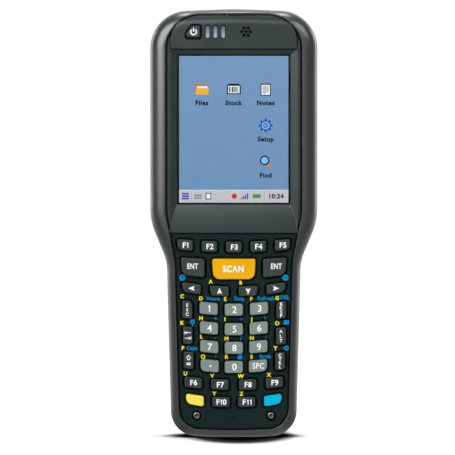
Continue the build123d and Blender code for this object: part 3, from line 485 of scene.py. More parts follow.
# ---------------------------------------------------------------- key layout
# A row's sag is how fast it rises away from the middle: rise = sag * x * x.
# Keys at the sides are (inner X, outer X, inner foot Z, outer foot Z, inner top Z, outer top Z).
F_KEY = (7.1, 4.85)  # width and height
F_PITCH = 11.1
F_ROW_Z = 84.4
F_ROW_SAG = 0.00185
ENTER_KEY = (13.3, 24.1, 72.9, 74.1, 81.4, 82.1)
SCAN_FOOT = (9.3, 72.2)  # half width and Z
SCAN_TOP = (9.9, 81.5)
ARROW_KEY = (8.9, 4.5)
ARROW_XS = (-19.35, -6.7, 6.7, 19.35)
ARROW_ROW_Z = 64.3
ARROW_ROW_SAG = 0.0038
DIGIT_KEY = (8.2, 5.45)
DIGIT_PITCHES = (11.45, 11.3, 11.15, 10.95)  # the columns close up towards the foot
DIGIT_ROW_ZS = (55.55, 46.65, 38.15, 29.45)
DIGIT_ROW_SAG = 0.0043
ESCAPE_KEY = (18.9, 23.4, 54.1, 54.5, 62.2, 62.6)
TAB_KEY = (18.8, 23.1, 42.5, 42.9, 50.4, 50.8)
SHIFT_KEY = (18.3, 22.8, 31.1, 31.7, 39.0, 39.4)
BACKSPACE_KEY = (19.3, 23.8, 54.1, 54.5, 61.9, 62.3)
ALT_KEY = (19.2, 23.7, 42.3, 42.7, 50.0, 50.4)
CTRL_KEY = (18.8, 23.3, 30.7, 31.3, 38.7, 39.1)
LOW_F_KEY = (7.95, 4.7)
LOW_F_XS = (-18.45, -6.3, 6.3, 18.45)
LOW_F_ROW_Z = 21.7
LAST_KEY = (7.9, 4.5)
LAST_X = 5.85
LAST_ROW_Z = 13.9
LOW_ROW_SAG = 0.0031
SHADE_KEY = (13.7, 21.7, 14.2, 15.6, 18.9, 20.1)
CORNER_R = 0.95
SOFT_CORNER_R = 2.3  # outer foot corners of rows, and inner top corners of escape and backspace
BROAD_CORNER_R = 3.0  # outer foot corners of the enter, scan and shade keys
POWER_CORNER_R = 0.8
F_INSET = 0.35  # how far a key's outer side leans in at its foot
ENTER_INSET = 0.8
ARROW_INSET = 0.8


def row(names, centres, size, foot, sag):
    """Keys of one size beside each other, by name."""
    keys = {}
    for name, centre in zip(names, centres):
        left, right = centre - size[0] / 2, centre + size[0] / 2
        left_z, right_z = foot + sag * left**2, foot + sag * right**2
        keys[name] = [(left, left_z, CORNER_R), (right, right_z, CORNER_R),
                      (right, right_z + size[1], CORNER_R), (left, left_z + size[1], CORNER_R)]
    return keys


def side_key(sizes):
    inner, outer, inner_foot, outer_foot, inner_top, outer_top = sizes
    return [(inner, inner_foot, CORNER_R), (outer, outer_foot, CORNER_R),
            (outer, outer_top, CORNER_R), (inner, inner_top, CORNER_R)]


def shape_corner(corners, index, radius=CORNER_R, inset=0.0):
    x, z, _ = corners[index]
    corners[index] = (x - copysign(inset, x), z, radius)


def flipped(corners):
    return [(-x, z, r) for x, z, r in reversed(corners)]


def power_corners():
    left, right = POWER_X - POWER_HALF, POWER_X + POWER_HALF
    foot, top = BROW_ITEM_Z - POWER_HALF_HEIGHT, BROW_ITEM_Z + POWER_HALF_HEIGHT
    cut = (left + POWER_CUT[0], top), (left, top - POWER_CUT[1])
    return [(x, z, POWER_CORNER_R) for x, z in ((left, foot), (right, foot), (right, top), *cut)]


def key_layout():
    """Each key's corners as (X, Z, radius)."""
    keys = row(("f1", "f2", "f3", "f4", "f5"), spread(F_PITCH, 5), F_KEY, F_ROW_Z, F_ROW_SAG)
    keys["enter_right"] = side_key(ENTER_KEY)
    shape_corner(keys["enter_right"], 1, BROAD_CORNER_R, ENTER_INSET)
    keys["enter_left"] = flipped(keys["enter_right"])
    foot = [(x, SCAN_FOOT[1], BROAD_CORNER_R) for x in both_sides(SCAN_FOOT[0])]
    top = [(x, SCAN_TOP[1], CORNER_R) for x in both_sides(SCAN_TOP[0])]
    keys["scan"] = foot + top[::-1]
    keys |= row(("left", "up", "down", "right"), ARROW_XS, ARROW_KEY, ARROW_ROW_Z, ARROW_ROW_SAG)
    digit_rows = ("1", "2", "3"), ("4", "5", "6"), ("7", "8", "9"), ("dot", "0", "space")
    for names, pitch, row_z in zip(digit_rows, DIGIT_PITCHES, DIGIT_ROW_ZS):
        keys |= row(names, spread(pitch, 3), DIGIT_KEY, row_z, DIGIT_ROW_SAG)
    for name, corner in (("f1", 0), ("f5", 1)):
        shape_corner(keys[name], corner, SOFT_CORNER_R, F_INSET)
    for name, corner in (("left", 0), ("right", 1)):
        shape_corner(keys[name], corner, SOFT_CORNER_R, ARROW_INSET)
    for name, corner in (("up", 0), ("down", 1)):
        shape_corner(keys[name], corner, inset=ARROW_INSET)
    for name, corner in (("dot", 0), ("space", 1)):
        shape_corner(keys[name], corner, SOFT_CORNER_R)

    keys["escape"] = flipped(side_key(ESCAPE_KEY))
    keys["tab"] = flipped(side_key(TAB_KEY))
    keys["shift"] = flipped(side_key(SHIFT_KEY))
    keys["backspace"] = side_key(BACKSPACE_KEY)
    keys["alt"] = side_key(ALT_KEY)
    keys["ctrl"] = side_key(CTRL_KEY)
    for name, corner in (("escape", 0), ("backspace", 3)):
        shape_corner(keys[name], corner, SOFT_CORNER_R)

    keys |= row(("f6", "f7", "f8", "f9"), LOW_F_XS, LOW_F_KEY, LOW_F_ROW_Z, LOW_ROW_SAG)
    keys |= row(("f10", "f11"), both_sides(LAST_X), LAST_KEY, LAST_ROW_Z, LOW_ROW_SAG)
    keys["blue"] = side_key(SHADE_KEY)
    shape_corner(keys["blue"], 1, BROAD_CORNER_R)
    keys["yellow"] = flipped(keys["blue"])
    keys["power"] = power_corners()
    return keys


KEYS = key_layout()
GREY_KEYS = {"0", "1", "2", "3", "4", "5", "6", "7", "8", "9", "dot", "space"}
COLOUR_KEYS = {"scan": "orange_key", "yellow": "yellow_key", "blue": "blue_key"}


# ---------------------------------------------------------------- keycaps
CAP_ROLL = 0.5  # radius of the rolled edge of a cap
CAP_DISH = 0.18  # how far a cap's middle is sunk
CAP_SINK = 0.02  # how far a cap's top is under the CAD key's, so that its legend stays in the part's box
CAP_STEP = 0.7  # longest run between points along a cap's straight side
CAP_ARC_STEPS = 7
ROLL_STEPS = 5
DISH_RINGS = (0.92, 0.84, 0.74, 0.62, 0.5, 0.36, 0.2)


def rounded_loop(corners, step, arc_steps):
    """Points along an anticlockwise outline with rounded corners, each with its normal.

    Step is the longest run between points along a straight side.
    """
    points = []
    count = len(corners)
    for i, (x, z, radius) in enumerate(corners):
        here = Vector((x, z))
        to_last = (Vector(corners[i - 1][:2]) - here).normalized()
        to_next = (Vector(corners[(i + 1) % count][:2]) - here).normalized()
        half = to_last.angle(to_next) / 2
        centre = here + (to_last + to_next).normalized() * radius / sin(half)
        normal_in = Vector((-to_last.y, to_last.x))
        if normal_in.dot(to_next) > 0:
            normal_in = -normal_in
        start = atan2(normal_in.y, normal_in.x)
        turn = copysign(pi - 2 * half, to_next.cross(to_last))
        for k in range(arc_steps + 1):
            angle = start + turn * k / arc_steps
            normal = Vector((cos(angle), sin(angle)))
            points.append((centre + normal * radius, normal))
    filled = []
    for i, (point, normal) in enumerate(points):
        filled.append((point, normal))
        after = points[(i + 1) % len(points)][0]
        runs = int((after - point).length / step) + 1
        filled += [(point.lerp(after, k / runs), normal) for k in range(1, runs)]
    return filled


def cap_surface(name):
    """Depth of a cap's dished top at (x, z)."""
    xs, zs = [corner[0] for corner in KEYS[name]], [corner[1] for corner in KEYS[name]]
    cx, cz = (min(xs) + max(xs)) / 2, (min(zs) + max(zs)) / 2
    hx, hz = (max(xs) - min(xs)) / 2, (max(zs) - min(zs)) / 2
    top_y = (BROW_Y if name == "power" else KEY_TOP_Y) + CAP_SINK

    def depth(x, z):
        u, v = min(abs(x - cx) / hx, 1), min(abs(z - cz) / hz, 1)
        return top_y + CAP_DISH * (1 - u**2.4) * (1 - v**2.4)
    return depth


def keycap(name):
    """A cap with a rolled edge and a dished top, on the flange that keeps it in."""
    surface = cap_surface(name)
    foot_y = POWER_FOOT_Y if name == "power" else CAP_FOOT_Y
    loop = rounded_loop(KEYS[name], CAP_STEP, CAP_ARC_STEPS)
    middle = sum((point for point, _ in loop), Vector((0, 0))) / len(loop)
    bm = bmesh.new()

    def ring(places):
        return [bm.verts.new(metres(point.x, y, point.y)) for point, y in places]

    rings = [
        ring([(point + normal * FLANGE_REACH, foot_y + FLANGE_THICK) for point, normal in loop]),
        ring([(point + normal * FLANGE_REACH, foot_y) for point, normal in loop]),
        ring([(point, foot_y) for point, _ in loop]),
    ]
    for k in range(ROLL_STEPS + 1):
        angle = pi / 2 * k / ROLL_STEPS
        inset, drop = CAP_ROLL * (1 - cos(angle)), CAP_ROLL * (1 - sin(angle))
        inner = [point - normal * inset for point, normal in loop]
        rings.append(ring([(point, surface(point.x, point.y) + drop) for point in inner]))
    edge = [point - normal * CAP_ROLL for point, normal in loop]
    for share in DISH_RINGS:
        inner = [middle + (point - middle) * share for point in edge]
        rings.append(ring([(point, surface(point.x, point.y)) for point in inner]))
    skin(bm, rings)

    slot = COLOUR_KEYS.get(name, "grey_key" if name in GREY_KEYS else "dark_key")
    cap = closed_piece("cap_" + name, bm, MATERIALS[slot], sharp=50)
    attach(cap, "key_" + name)
    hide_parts("key_" + name)


for name in KEYS:
    keycap(name)


# ---------------------------------------------------------------- legends
# How far strokes are thickened, as a share of the font's size.
BOLD = 0.026
LIGHT_BOLD = 0.014
SMALL_BOLD = 0.045
WORD_SPACING = 1.08
# Legends as (words, height, squeeze, aside, up). The last two move them off the middle of the key.
WORD_LEGENDS = {f"f{i}": (f"F{i}", 2.3, 1.0, 0.25, 0.0) for i in range(2, 10)}
WORD_LEGENDS |= {str(i): (str(i), 2.95, 1.0, 0.3, 0.0) for i in range(10) if i != 1}
WORD_LEGENDS |= {
    "enter_left": ("ENT", 2.35, 0.74, -0.2, 0.5),
    "enter_right": ("ENT", 2.35, 0.74, 0.85, 0.5),
    "scan": ("SCAN", 2.75, 0.88, -0.25, 0.0),
    "space": ("SPC", 2.5, 0.84, 0.2, 0.0),
}
# Legends with a flag on each 1, as (words, height, gap). The gap is a share of the height.
FLAGGED_LEGENDS = {
    "f1": ("F1", 2.35, 0.2), "f10": ("F10", 2.35, 0.18), "f11": ("F11", 2.35, 0.26), "1": ("1", 2.95, 0.0),
}
FLAGGED_ASIDE = 0.25
# Legends that run down their key, as (words, pitch).
COLUMN_LEGENDS = {
    "escape": ("ESC", 2.1), "backspace": ("BKSP", 1.75), "alt": ("ALT", 2.1), "ctrl": ("CTRL", 1.75),
}
COLUMN_HEIGHT = 1.4
ARROW_TURNS = {"right": 0, "up": 90, "left": 180, "down": 270}


def word_sign(label, x, z, words, height, squeeze, aside, up, bold):
    label.text(words, x + aside, z + up, height, bold, squeeze, WORD_SPACING)


def flagged_sign(label, x, z, words, height, gap):
    label.figures(words, x + FLAGGED_ASIDE, z, height, BOLD, gap)


def column_sign(label, x, z, words, pitch):
    label.column(words, x, z, COLUMN_HEIGHT, pitch, BOLD)


def arrow_sign(label, x, z, angle):
    """The two halves of an arrowhead."""
    label.shape(turned([(-1.35, -1.15), (1.5, 0.0), (-0.75, 0.0)], angle), x, z)
    label.shape(turned([(-0.75, 0.0), (1.5, 0.0), (-1.35, 1.15)], angle), x, z)


def dot_sign(label, x, z):
    label.disc(x + 0.3, z, 0.48, 12)


def tab_sign(label, x, z):
    """Two arrows that end at bars, one above the other."""
    arrow = [(-1.35, -0.16), (0.5, -0.16), (0.5, -0.7), (1.3, 0.0), (0.5, 0.7), (0.5, 0.16), (-1.35, 0.16)]
    bar = [(1.37, -0.75), (1.63, -0.75), (1.63, 0.75), (1.37, 0.75)]
    for rise, angle in ((1.25, 180), (-1.25, 0)):
        for part in (arrow, bar):
            label.shape(turned(part, angle), x, z + rise)


def shift_sign(label, x, z):
    """The outline of an arrow over two bars."""
    outer = [(0.0, 2.5), (-1.25, 1.2), (-0.6, 1.2), (-0.6, 0.1), (0.6, 0.1), (0.6, 1.2), (1.25, 1.2)]
    inner = [(0.0, 2.05), (-0.6, 1.45), (-0.28, 1.2), (-0.28, 0.42), (0.28, 0.42), (0.28, 1.2), (0.6, 1.45)]
    for i in range(len(outer)):
        j = (i + 1) % len(outer)
        label.shape([outer[i], outer[j], inner[j], inner[i]], x, z)
    for foot in (-1.5, -2.2):
        label.box(x - 0.95, x + 0.95, z + foot, z + foot + 0.45)


def power_sign(label, x, z):
    """An open ring with a bar in its gap."""
    label.band(x + 0.3, z + 0.1, 1.0, 1.6, 130, 280, 20)
    label.box(x + 0.02, x + 0.58, z + 0.2, z + 1.95)


def legend(name, draw, *settings):
    """A white legend on a key, drawn round the mean of its corners."""
    xs, zs = [corner[0] for corner in KEYS[name]], [corner[1] for corner in KEYS[name]]
    label = Print(cap_surface(name))
    draw(label, sum(xs) / len(xs), sum(zs) / len(zs), *settings)
    label.finish("legend_" + name, WHITE, "key_" + name)


def key_legends():
    for name, settings in FLAGGED_LEGENDS.items():
        legend(name, flagged_sign, *settings)
    for name, settings in WORD_LEGENDS.items():
        legend(name, word_sign, *settings, LIGHT_BOLD if name in GREY_KEYS else BOLD)
    for name, settings in COLUMN_LEGENDS.items():
        legend(name, column_sign, *settings)
    for name, angle in ARROW_TURNS.items():
        legend(name, arrow_sign, angle)
    for name, sign in (("dot", dot_sign), ("tab", tab_sign), ("shift", shift_sign), ("power", power_sign)):
        legend(name, sign)


# ---------------------------------------------------------------- small print on the keypad plate
# Places as (X, Z).
LETTERS = {
    "A": (-10.5, 71.1), "B": (3.2, 70.6), "C": (-23.5, 64.4), "D": (-14.9, 63.4), "E": (-3.9, 63.2),
    "F": (8.0, 63.2), "G": (19.7, 63.6), "H": (-14.9, 54.4), "I": (-4.0, 54.0), "J": (8.0, 53.9),
    "K": (-23.4, 52.3), "L": (-14.7, 46.0), "M": (-3.3, 45.1), "N": (8.2, 45.4), "O": (19.7, 52.1),
    "P": (-23.1, 40.8), "Q": (-14.0, 36.9), "R": (-3.2, 36.8), "S": (8.1, 36.8), "T": (19.0, 40.7),
    "U": (-22.0, 29.2), "V": (-9.8, 28.2), "W": (3.2, 28.0), "X": (16.0, 28.6), "Y": (-8.8, 20.1),
    "Z": (3.5, 20.0),
}
WORDS = {
    "Home": (-9.2, 63.4), "Stop": (2.5, 63.4), "Refresh": (14.6, 63.4), "DEL": (23.3, 63.9),
    "Caps": (-19.0, 40.8), "Symb": (14.3, 37.0),
}
MARKS = {
    "+": (-8.3, 54.3), "*": (3.4, 53.4), "\\": (14.2, 54.5), "-": (-8.6, 45.7), "/": (3.3, 45.2),
    ":": (14.6, 46.0), "'": (-8.2, 36.4),
}
LETTER_HEIGHT = 1.65
MARK_HEIGHT = 1.7
WORD_BOLD = 0.03
WORD_SQUEEZE = 0.92
# Rings as (X, Z, inner radius, outer radius), and boxes as (left, right, foot, top).
RINGS = (
    (-23.4, 72.85, 0.35, 1.4), (23.5, 72.85, 0.35, 1.4), (-18.8, 52.8, 0.4, 1.05), (24.0, 40.8, 0.45, 1.1),
)
BOXES = (
    (-19.05, -18.55, 50.8, 51.9), (22.7, 25.1, 51.6, 53.5), (22.6, 23.1, 40.3, 41.3),
    (1.7, 3.9, 35.7, 37.3),
)
HALF_RING = (2.8, 37.2, 0.45, 0.95)  # over the last box


def plate_print():
    letters = Print(KEYPAD_Y)
    for letter, (x, z) in LETTERS.items():
        letters.text(letter, x, z, LETTER_HEIGHT, SMALL_BOLD)
    letters.finish("plate_letters", YELLOW)

    marks = Print(KEYPAD_Y)
    for word, (x, z) in WORDS.items():
        marks.text(word, x, z, MARK_HEIGHT, WORD_BOLD, WORD_SQUEEZE, WORD_SPACING)
    for mark, (x, z) in MARKS.items():
        marks.text(mark, x, z, MARK_HEIGHT, BOLD)
    for ring in RINGS:
        marks.band(*ring)
    for box in BOXES:
        marks.box(*box)
    marks.band(*HALF_RING, 0, 180, 10)
    marks.finish("plate_marks", BLUE)


# ---------------------------------------------------------------- painted shade in seams and round openings
# Right halves of outlines, as (X, Z, corner radius), from the foot up.
PANEL_EDGE = [
    (24.8, 4.1, 9.5), (26.9, 80.2, 25.0), (29.3, 93.0, 0.0), (31.1, 102.0, 20.0), (31.1, 192.9, 16.0),
]
PANEL_SAG = (0.0, 3.2, 120.0)
BROW_EDGE = [(28.7, 177.0, 0.0), (28.7, 193.4, 13.5)]
BROW_LINE_TOP = 191.6
OUTLINE_STEP = 2.0
OUTLINE_ARC_STEPS = 20
# Distances from an outline between which its strips of painted shade lie.
SEAM_SHADE_STRIPS = ((0.03, 0.365), (0.365, 0.7))
GROOVE_SHADE_STRIPS = ((0.03, 0.27), (0.33, 0.5))
# Widths of the painted shade round keys and lamps, and over the tops of lamps.
KEY_SHADE_WIDTH = 0.5
LAMP_SHADE_WIDTH = 0.2
LAMP_TOP_SHADE = 0.5
SPEAKER_SHADE_R = 0.74
RIM_STEP = 9.0
RIM_ARC_STEPS = 5


def front_of(*names):
    """Depth of the foremost of some CAD nodes at (x, z), or of the keypad plate over a gap."""
    def depth(x, z):
        hits = [nodes[name].ray_cast(metres(x, -40, z), Vector((0, 1, 0))) for name in names]
        return min([place.y / MM for hit, place, _, _ in hits if hit], default=KEYPAD_Y)
    return depth


def outline(right_half, *ends):
    """Points round a symmetric outline, without doubles."""
    corners = [*ends, *right_half, *flipped(right_half)]
    loop = [point for point, _ in rounded_loop(corners, OUTLINE_STEP, OUTLINE_ARC_STEPS)]
    return [point for i, point in enumerate(loop) if (point - loop[i - 1]).length > 0.001]


def seam_lines():
    """Painted shade: black strips beside the seam of the panels and in the groove round the brow."""
    seam = Print(front_of("display_bezel", "keypad_plate", "front_frame"))
    edge = outline(PANEL_EDGE, PANEL_SAG)
    for near, far in SEAM_SHADE_STRIPS:
        seam.ribbon(edge + edge[:1], -SEAM - far, -SEAM - near)
    seam.finish("panel_seam_painted_shade", BLACK_INK_AND_PAINTED_SHADE)

    groove = Print(front_of("display_bezel"))
    edge = outline(BROW_EDGE)
    above = [i for i, point in enumerate(edge) if point.y > BROW_LINE_TOP]
    line = edge[above[-1] + 1:] + edge[:above[0]]
    for near, far in GROOVE_SHADE_STRIPS:
        groove.ribbon(line, near, far)
    groove.finish("brow_groove_painted_shade", BLACK_INK_AND_PAINTED_SHADE)


def key_rims(name, keys, face_y):
    """Painted shade: dark rings in the openings that keys stand in."""
    rims = Print(face_y + PRINT_PROUD / 2)
    for key in keys:
        loop = [point for point, _ in rounded_loop(KEYS[key], RIM_STEP, RIM_ARC_STEPS)]
        rims.ribbon([loop[-1], *loop, loop[0]], KEY_GAP, KEY_GAP + KEY_SHADE_WIDTH)
    rims.finish(name, BLACK_INK_AND_PAINTED_SHADE)


def speaker_rims():
    """Painted shade round the holes over the speaker, which makes them look wider."""
    rims = Print(BROW_Y + PRINT_PROUD / 2)
    for x, z in [(0.0, 0.0), *polygon(SPEAKER_PITCH, SPEAKER_RING_COUNT)]:
        rims.band(SPEAKER_X + x, BROW_ITEM_Z + z, SPEAKER_HOLE_R, SPEAKER_SHADE_R)
    rims.finish("speaker_rims", BLACK_INK_AND_PAINTED_SHADE)


def lamp_rims():
    """Painted shade: thin rings round the lamps, broad over their tops where a hood would shade them."""
    rims = Print(BROW_Y + PRINT_PROUD / 2)
    half, end = LAMP_WIDTH / 2, (LAMP_HEIGHT - LAMP_WIDTH) / 2
    for aside in spread(LAMP_PITCH, LAMP_COUNT):
        x = LAMP_X + aside
        rims.band(x, BROW_ITEM_Z + end, half, half + LAMP_TOP_SHADE, 0, 180, 12)
        rims.band(x, BROW_ITEM_Z - end, half, half + LAMP_SHADE_WIDTH, 180, 180, 12)
        for left in (x - half - LAMP_SHADE_WIDTH, x + half):
            rims.box(left, left + LAMP_SHADE_WIDTH, BROW_ITEM_Z - end, BROW_ITEM_Z + end)
    rims.finish("lamp_rims", BLACK_INK_AND_PAINTED_SHADE)


# ---------------------------------------------------------------- front screws
SCREW_SIDES = 48
SOCKET_LOBES = 6
SOCKET_WAVE = 0.12  # how deep the lobes are, as a share of the radius
# Radius and depth along a screw's side, from its socket to its tip. The first two rings are lobed.
SCREW_PROFILE = [
    (0.72, -17.5), (0.8, -18.05), (1.0, -18.17), (1.25, -18.1), (1.5, -17.93), (1.7, -17.68), (1.82, -17.4),
    (1.85, -17.1), (1.85, -16.7), (0.8, -16.7), (0.8, -8.2), (0.5, -7.9),
]


def front_screws():
    """Domed screws with a lobed socket."""
    bm = bmesh.new()
    for x in both_sides(SCREW_X):
        rings = []
        for k, (radius, y) in enumerate(SCREW_PROFILE):
            wave = SOCKET_WAVE if k < 2 else 0.0
            ring = []
            for i in range(SCREW_SIDES):
                angle = 2 * pi * i / SCREW_SIDES
                reach = radius * (1 - wave + wave * cos(SOCKET_LOBES * angle))
                ring.append(bm.verts.new(metres(x + reach * cos(angle), y, SCREW_Z + reach * sin(angle))))
            rings.append(ring)
        skin(bm, rings)
    made = closed_piece("screws_front", bm, MATERIALS["steel"], sharp=35)
    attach(made, "root")
    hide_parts("front_screws")


key_legends()
plate_print()
seam_lines()
# Painted shade round the power key and round the other keys.
key_rims("power_painted_shade", ["power"], BROW_Y)
key_rims("key_rims", [key for key in KEYS if key != "power"], KEYPAD_Y)
speaker_rims()
lamp_rims()
front_screws()


# ---------------------------------------------------------------- picture on the screen
TASK_BAR = 5.8  # height of the bar along the foot of the screen
BAR_LINE = 0.3
MASK_WIDTH = 2.4  # black border printed round the lit area
MASK_DEPTH = 0.09
# Layers of the picture, as (depth behind the glass, colour).
LAYERS = {
    "field": (0.09, srgb(110, 146, 186)), "bar": (0.09, srgb(196, 195, 198)),
    "tan": (0.07, srgb(200, 132, 44)), "black": (0.07, srgb(18, 22, 34)), "navy": (0.07, srgb(40, 74, 170)),
    "white": (0.055, srgb(240, 243, 246)), "green": (0.055, srgb(64, 152, 70)),
    "amber": (0.04, srgb(238, 178, 70)), "sky": (0.04, srgb(130, 190, 240)),
    "red": (0.04, srgb(196, 52, 44)), "grey": (0.04, srgb(120, 124, 132)),
    "pale": (0.04, srgb(224, 224, 228)), "text": (0.04, srgb(12, 20, 48)), "ink": (0.025, srgb(18, 22, 34)),
}
FIELD_TOP = srgb(117, 152, 190)
WORD_DROP = 6.2  # from the middle of an icon to its word
# Widths of the bars on the tag, each with the gap after it.
TAG_BARS = ((0.5, 0.3), (0.25, 0.35), (0.7, 0.3), (0.3, 0.25), (0.5, 0.35), (0.25, 0.0))


def folder(draw, x, z):
    draw["tan"].shape([(-3.0, -2.4), (3.0, -2.4), (3.0, 1.9), (0.2, 1.9), (-0.4, 2.6), (-3.0, 2.6)], x, z)
    draw["white"].box(x - 2.2, x + 2.5, z - 1.4, z + 1.3)
    draw["amber"].shape([(-3.0, -2.5), (2.7, -2.5), (3.3, 0.5), (-2.4, 0.5)], x, z)


def tag(draw, x, z):
    draw["black"].shape([(-3.2, -2.3), (3.2, -2.3), (3.2, 1.6), (2.3, 2.5), (-2.3, 2.5), (-3.2, 1.6)], x, z)
    draw["white"].box(x - 2.6, x + 2.6, z - 1.8, z + 1.5)
    left = x - 2.2
    for bar, gap in TAG_BARS:
        draw["ink"].box(left, left + bar, z - 1.4, z + 1.1)
        left += bar + gap


def notes(draw, x, z):
    draw["black"].box(x - 2.3, x + 2.3, z - 3.0, z + 2.6)
    draw["white"].box(x - 1.9, x + 1.9, z - 2.6, z + 2.0)
    draw["grey"].box(x - 1.0, x + 1.0, z + 1.8, z + 3.0)
    for rise, end in ((1.0, 1.4), (0.1, 1.4), (-0.8, 1.4), (-1.7, 0.3)):
        draw["ink"].box(x - 1.4, x + end, z + rise - 0.18, z + rise + 0.18)


def dial(draw, x, z):
    for turn in range(0, 360, 45):
        draw["navy"].shape(turned([(1.8, -0.6), (3.1, -0.45), (3.1, 0.45), (1.8, 0.6)], turn), x, z)
    draw["navy"].band(x, z, 0.9, 2.3)
    draw["sky"].band(x, z, 1.2, 1.8)


def lens(draw, x, z):
    draw["sky"].disc(x - 0.5, z + 0.6, 1.9)
    draw["ink"].band(x - 0.5, z + 0.6, 1.6, 2.2)
    draw["tan"].shape(turned([(0.4, -0.5), (3.1, -0.5), (3.1, 0.5), (0.4, 0.5)], -45), x + 0.6, z - 0.6)


ICONS = {
    "Files": (folder, -14.5, 158.5), "Stock": (tag, 0.0, 158.5), "Notes": (notes, 14.5, 158.5),
    "Setup": (dial, 14.5, 142.0), "Find": (lens, 14.5, 125.5),
}


def task_bar(draw, left, right, foot):
    """A menu mark, two buttons, small state marks and the time at the right end."""
    middle = foot + TASK_BAR / 2
    for x in (left + 5.6, left + 16.2, right - 10.8):
        draw["grey"].box(x - 0.1, x + 0.1, foot + 0.7, foot + 5.0)
        draw["pale"].box(x + 0.1, x + 0.3, foot + 0.7, foot + 5.0)
    for rise in spread(1.1, 3):
        draw["navy"].box(left + 1.2, left + 4.4, middle + rise - 0.38, middle + rise + 0.38)
    for step in range(3):
        key = left + 7.0 + step * 1.1
        for rise in (-1.3, -0.1):
            draw["grey"].box(key, key + 0.8, middle + rise, middle + rise + 0.9)
    draw["black"].box(left + 12.0, left + 14.6, middle - 1.5, middle + 1.5)
    draw["white"].box(left + 12.4, left + 14.2, middle - 1.1, middle + 1.1)
    draw["red"].disc(right - 24.6, middle, 1.2)
    for step in range(4):
        stroke = right - 21.6 + step * 0.9
        draw["navy"].box(stroke, stroke + 0.6, middle - 1.4, middle - 0.6 + step * 0.65)
    draw["green"].box(right - 16.2, right - 12.8, middle - 0.9, middle + 0.9)
    draw["green"].box(right - 12.8, right - 12.4, middle - 0.4, middle + 0.4)
    draw["ink"].text("10:24", right - 5.4, middle, 1.9, SMALL_BOLD, 1.0, 1.15)


def screen_picture():
    """A plain desk of icons over a bar, in layers behind the glass."""
    left, right, foot, top = -SCREEN_HALF, SCREEN_HALF, SCREEN_FOOT_Z, SCREEN_TOP_Z
    draw = {name: Print(PANE_BACK_Y + depth + PRINT_PROUD) for name, (depth, _) in LAYERS.items()}
    draw["field"].box(left, right, foot + TASK_BAR, top)
    draw["bar"].box(left, right, foot, foot + TASK_BAR)
    draw["pale"].box(left, right, foot + TASK_BAR - BAR_LINE, foot + TASK_BAR)
    task_bar(draw, left, right, foot)
    for word, (icon, x, z) in ICONS.items():
        icon(draw, x, z)
        draw["text"].text(word, x, z - WORD_DROP, 2.0, SMALL_BOLD, 1.0, 1.12)
    for name, made in draw.items():
        lit = glowing("lit_" + name, LAYERS[name][1], FIELD_TOP if name == "field" else None)
        made.finish("screen_" + name, lit)


def screen_mask():
    """The black border round the lit area."""
    mask = Print(PANE_BACK_Y + MASK_DEPTH)
    out_x = SCREEN_HALF + MASK_WIDTH
    mask.box(-out_x, out_x, SCREEN_FOOT_Z - MASK_WIDTH, SCREEN_FOOT_Z)
    mask.box(-out_x, out_x, SCREEN_TOP_Z, SCREEN_TOP_Z + MASK_WIDTH)
    mask.box(-out_x, -SCREEN_HALF, SCREEN_FOOT_Z, SCREEN_TOP_Z)
    mask.box(SCREEN_HALF, out_x, SCREEN_FOOT_Z, SCREEN_TOP_Z)
    mask.finish("screen_mask", BLACK_INK_AND_PAINTED_SHADE)


screen_mask()
screen_picture()


# ---------------------------------------------------------------- floor and world
FLOOR_HALF = 8.0  # metres
# Half axes and sideways shift of the painted shadow under the foot.
FOOT_SHADE = (27.0, 72.0)  # half axes of the shade under the foot
FOOT_SHADE_X = 2.8


def light_rays(tree):
    """The kinds of ray, and a switch that is 1 for rays from the camera and through glass."""
    rays = add(tree, "ShaderNodeLightPath").outputs
    return rays, maths(tree, "MAXIMUM", rays["Is Camera Ray"], rays["Is Transmission Ray"])


def floor_paper():
    """White paper to the camera, with a painted shadow under the foot.

    To other rays it is dark in front of the object, as a studio's floor is. Mirrors see it dark further
    back, with a small painted glow under the foot.
    """
    material, tree, shader, place = new_material("floor_paper")
    paper = ramp(tree, noise(tree, place, 30.0, 3.0), [(0.3, grey(0.94)), (0.7, grey(0.96))])
    # Painted contact shadow where the foot hems the floor in.
    contact = ramp(tree, openness(tree, 10, samples=16), [(0.3, grey(0.02)), (0.9, grey(1.0))])
    # Painted shadow in an ellipse under the foot, darkest in its middle.
    away = vector_maths(tree, "ADD", place, (-FOOT_SHADE_X * MM, 0, 0))
    away = vector_maths(tree, "MULTIPLY", away, [1 / (half * MM) for half in FOOT_SHADE] + [1])
    away = vector_maths(tree, "LENGTH", away, output="Value")
    under = ramp(tree, away, [(0.5, grey(0.002)), (0.75, grey(0.05)), (1.0, grey(1.0))])
    seen = mixed(tree, 1.0, mixed(tree, 1.0, paper, contact, "MULTIPLY"), under, "MULTIPLY")

    rays, straight = light_rays(tree)
    back = maths(tree, "MULTIPLY_ADD", rays["Is Glossy Ray"], -0.4, axis(tree, place, "Y"))
    unseen = ramp(tree, remap(tree, back, -0.5, -0.15), [(0.0, grey(0.08)), (1.0, grey(0.9))])
    # Painted glow under the foot, which only mirrors see.
    glow = maths(tree, "MULTIPLY", remap(tree, away, 0.8, 1.1, 0.5, 0.0), rays["Is Glossy Ray"])
    set_inputs(tree, shader, {
        "Base Color": mixed(tree, straight, unseen, seen), "Roughness": 0.9, "Specular IOR Level": 0.0,
        "Emission Color": grey(1.0), "Emission Strength": glow,
    })
    return material


def floor():
    side = FLOOR_HALF
    corners = [(-side, -side, 0), (side, -side, 0), (side, side, 0), (-side, side, 0)]
    mesh = bpy.data.meshes.new("floor")
    mesh.from_pydata(corners, [], [(0, 1, 2, 3)])
    mesh.materials.append(floor_paper())
    put("floor", mesh)


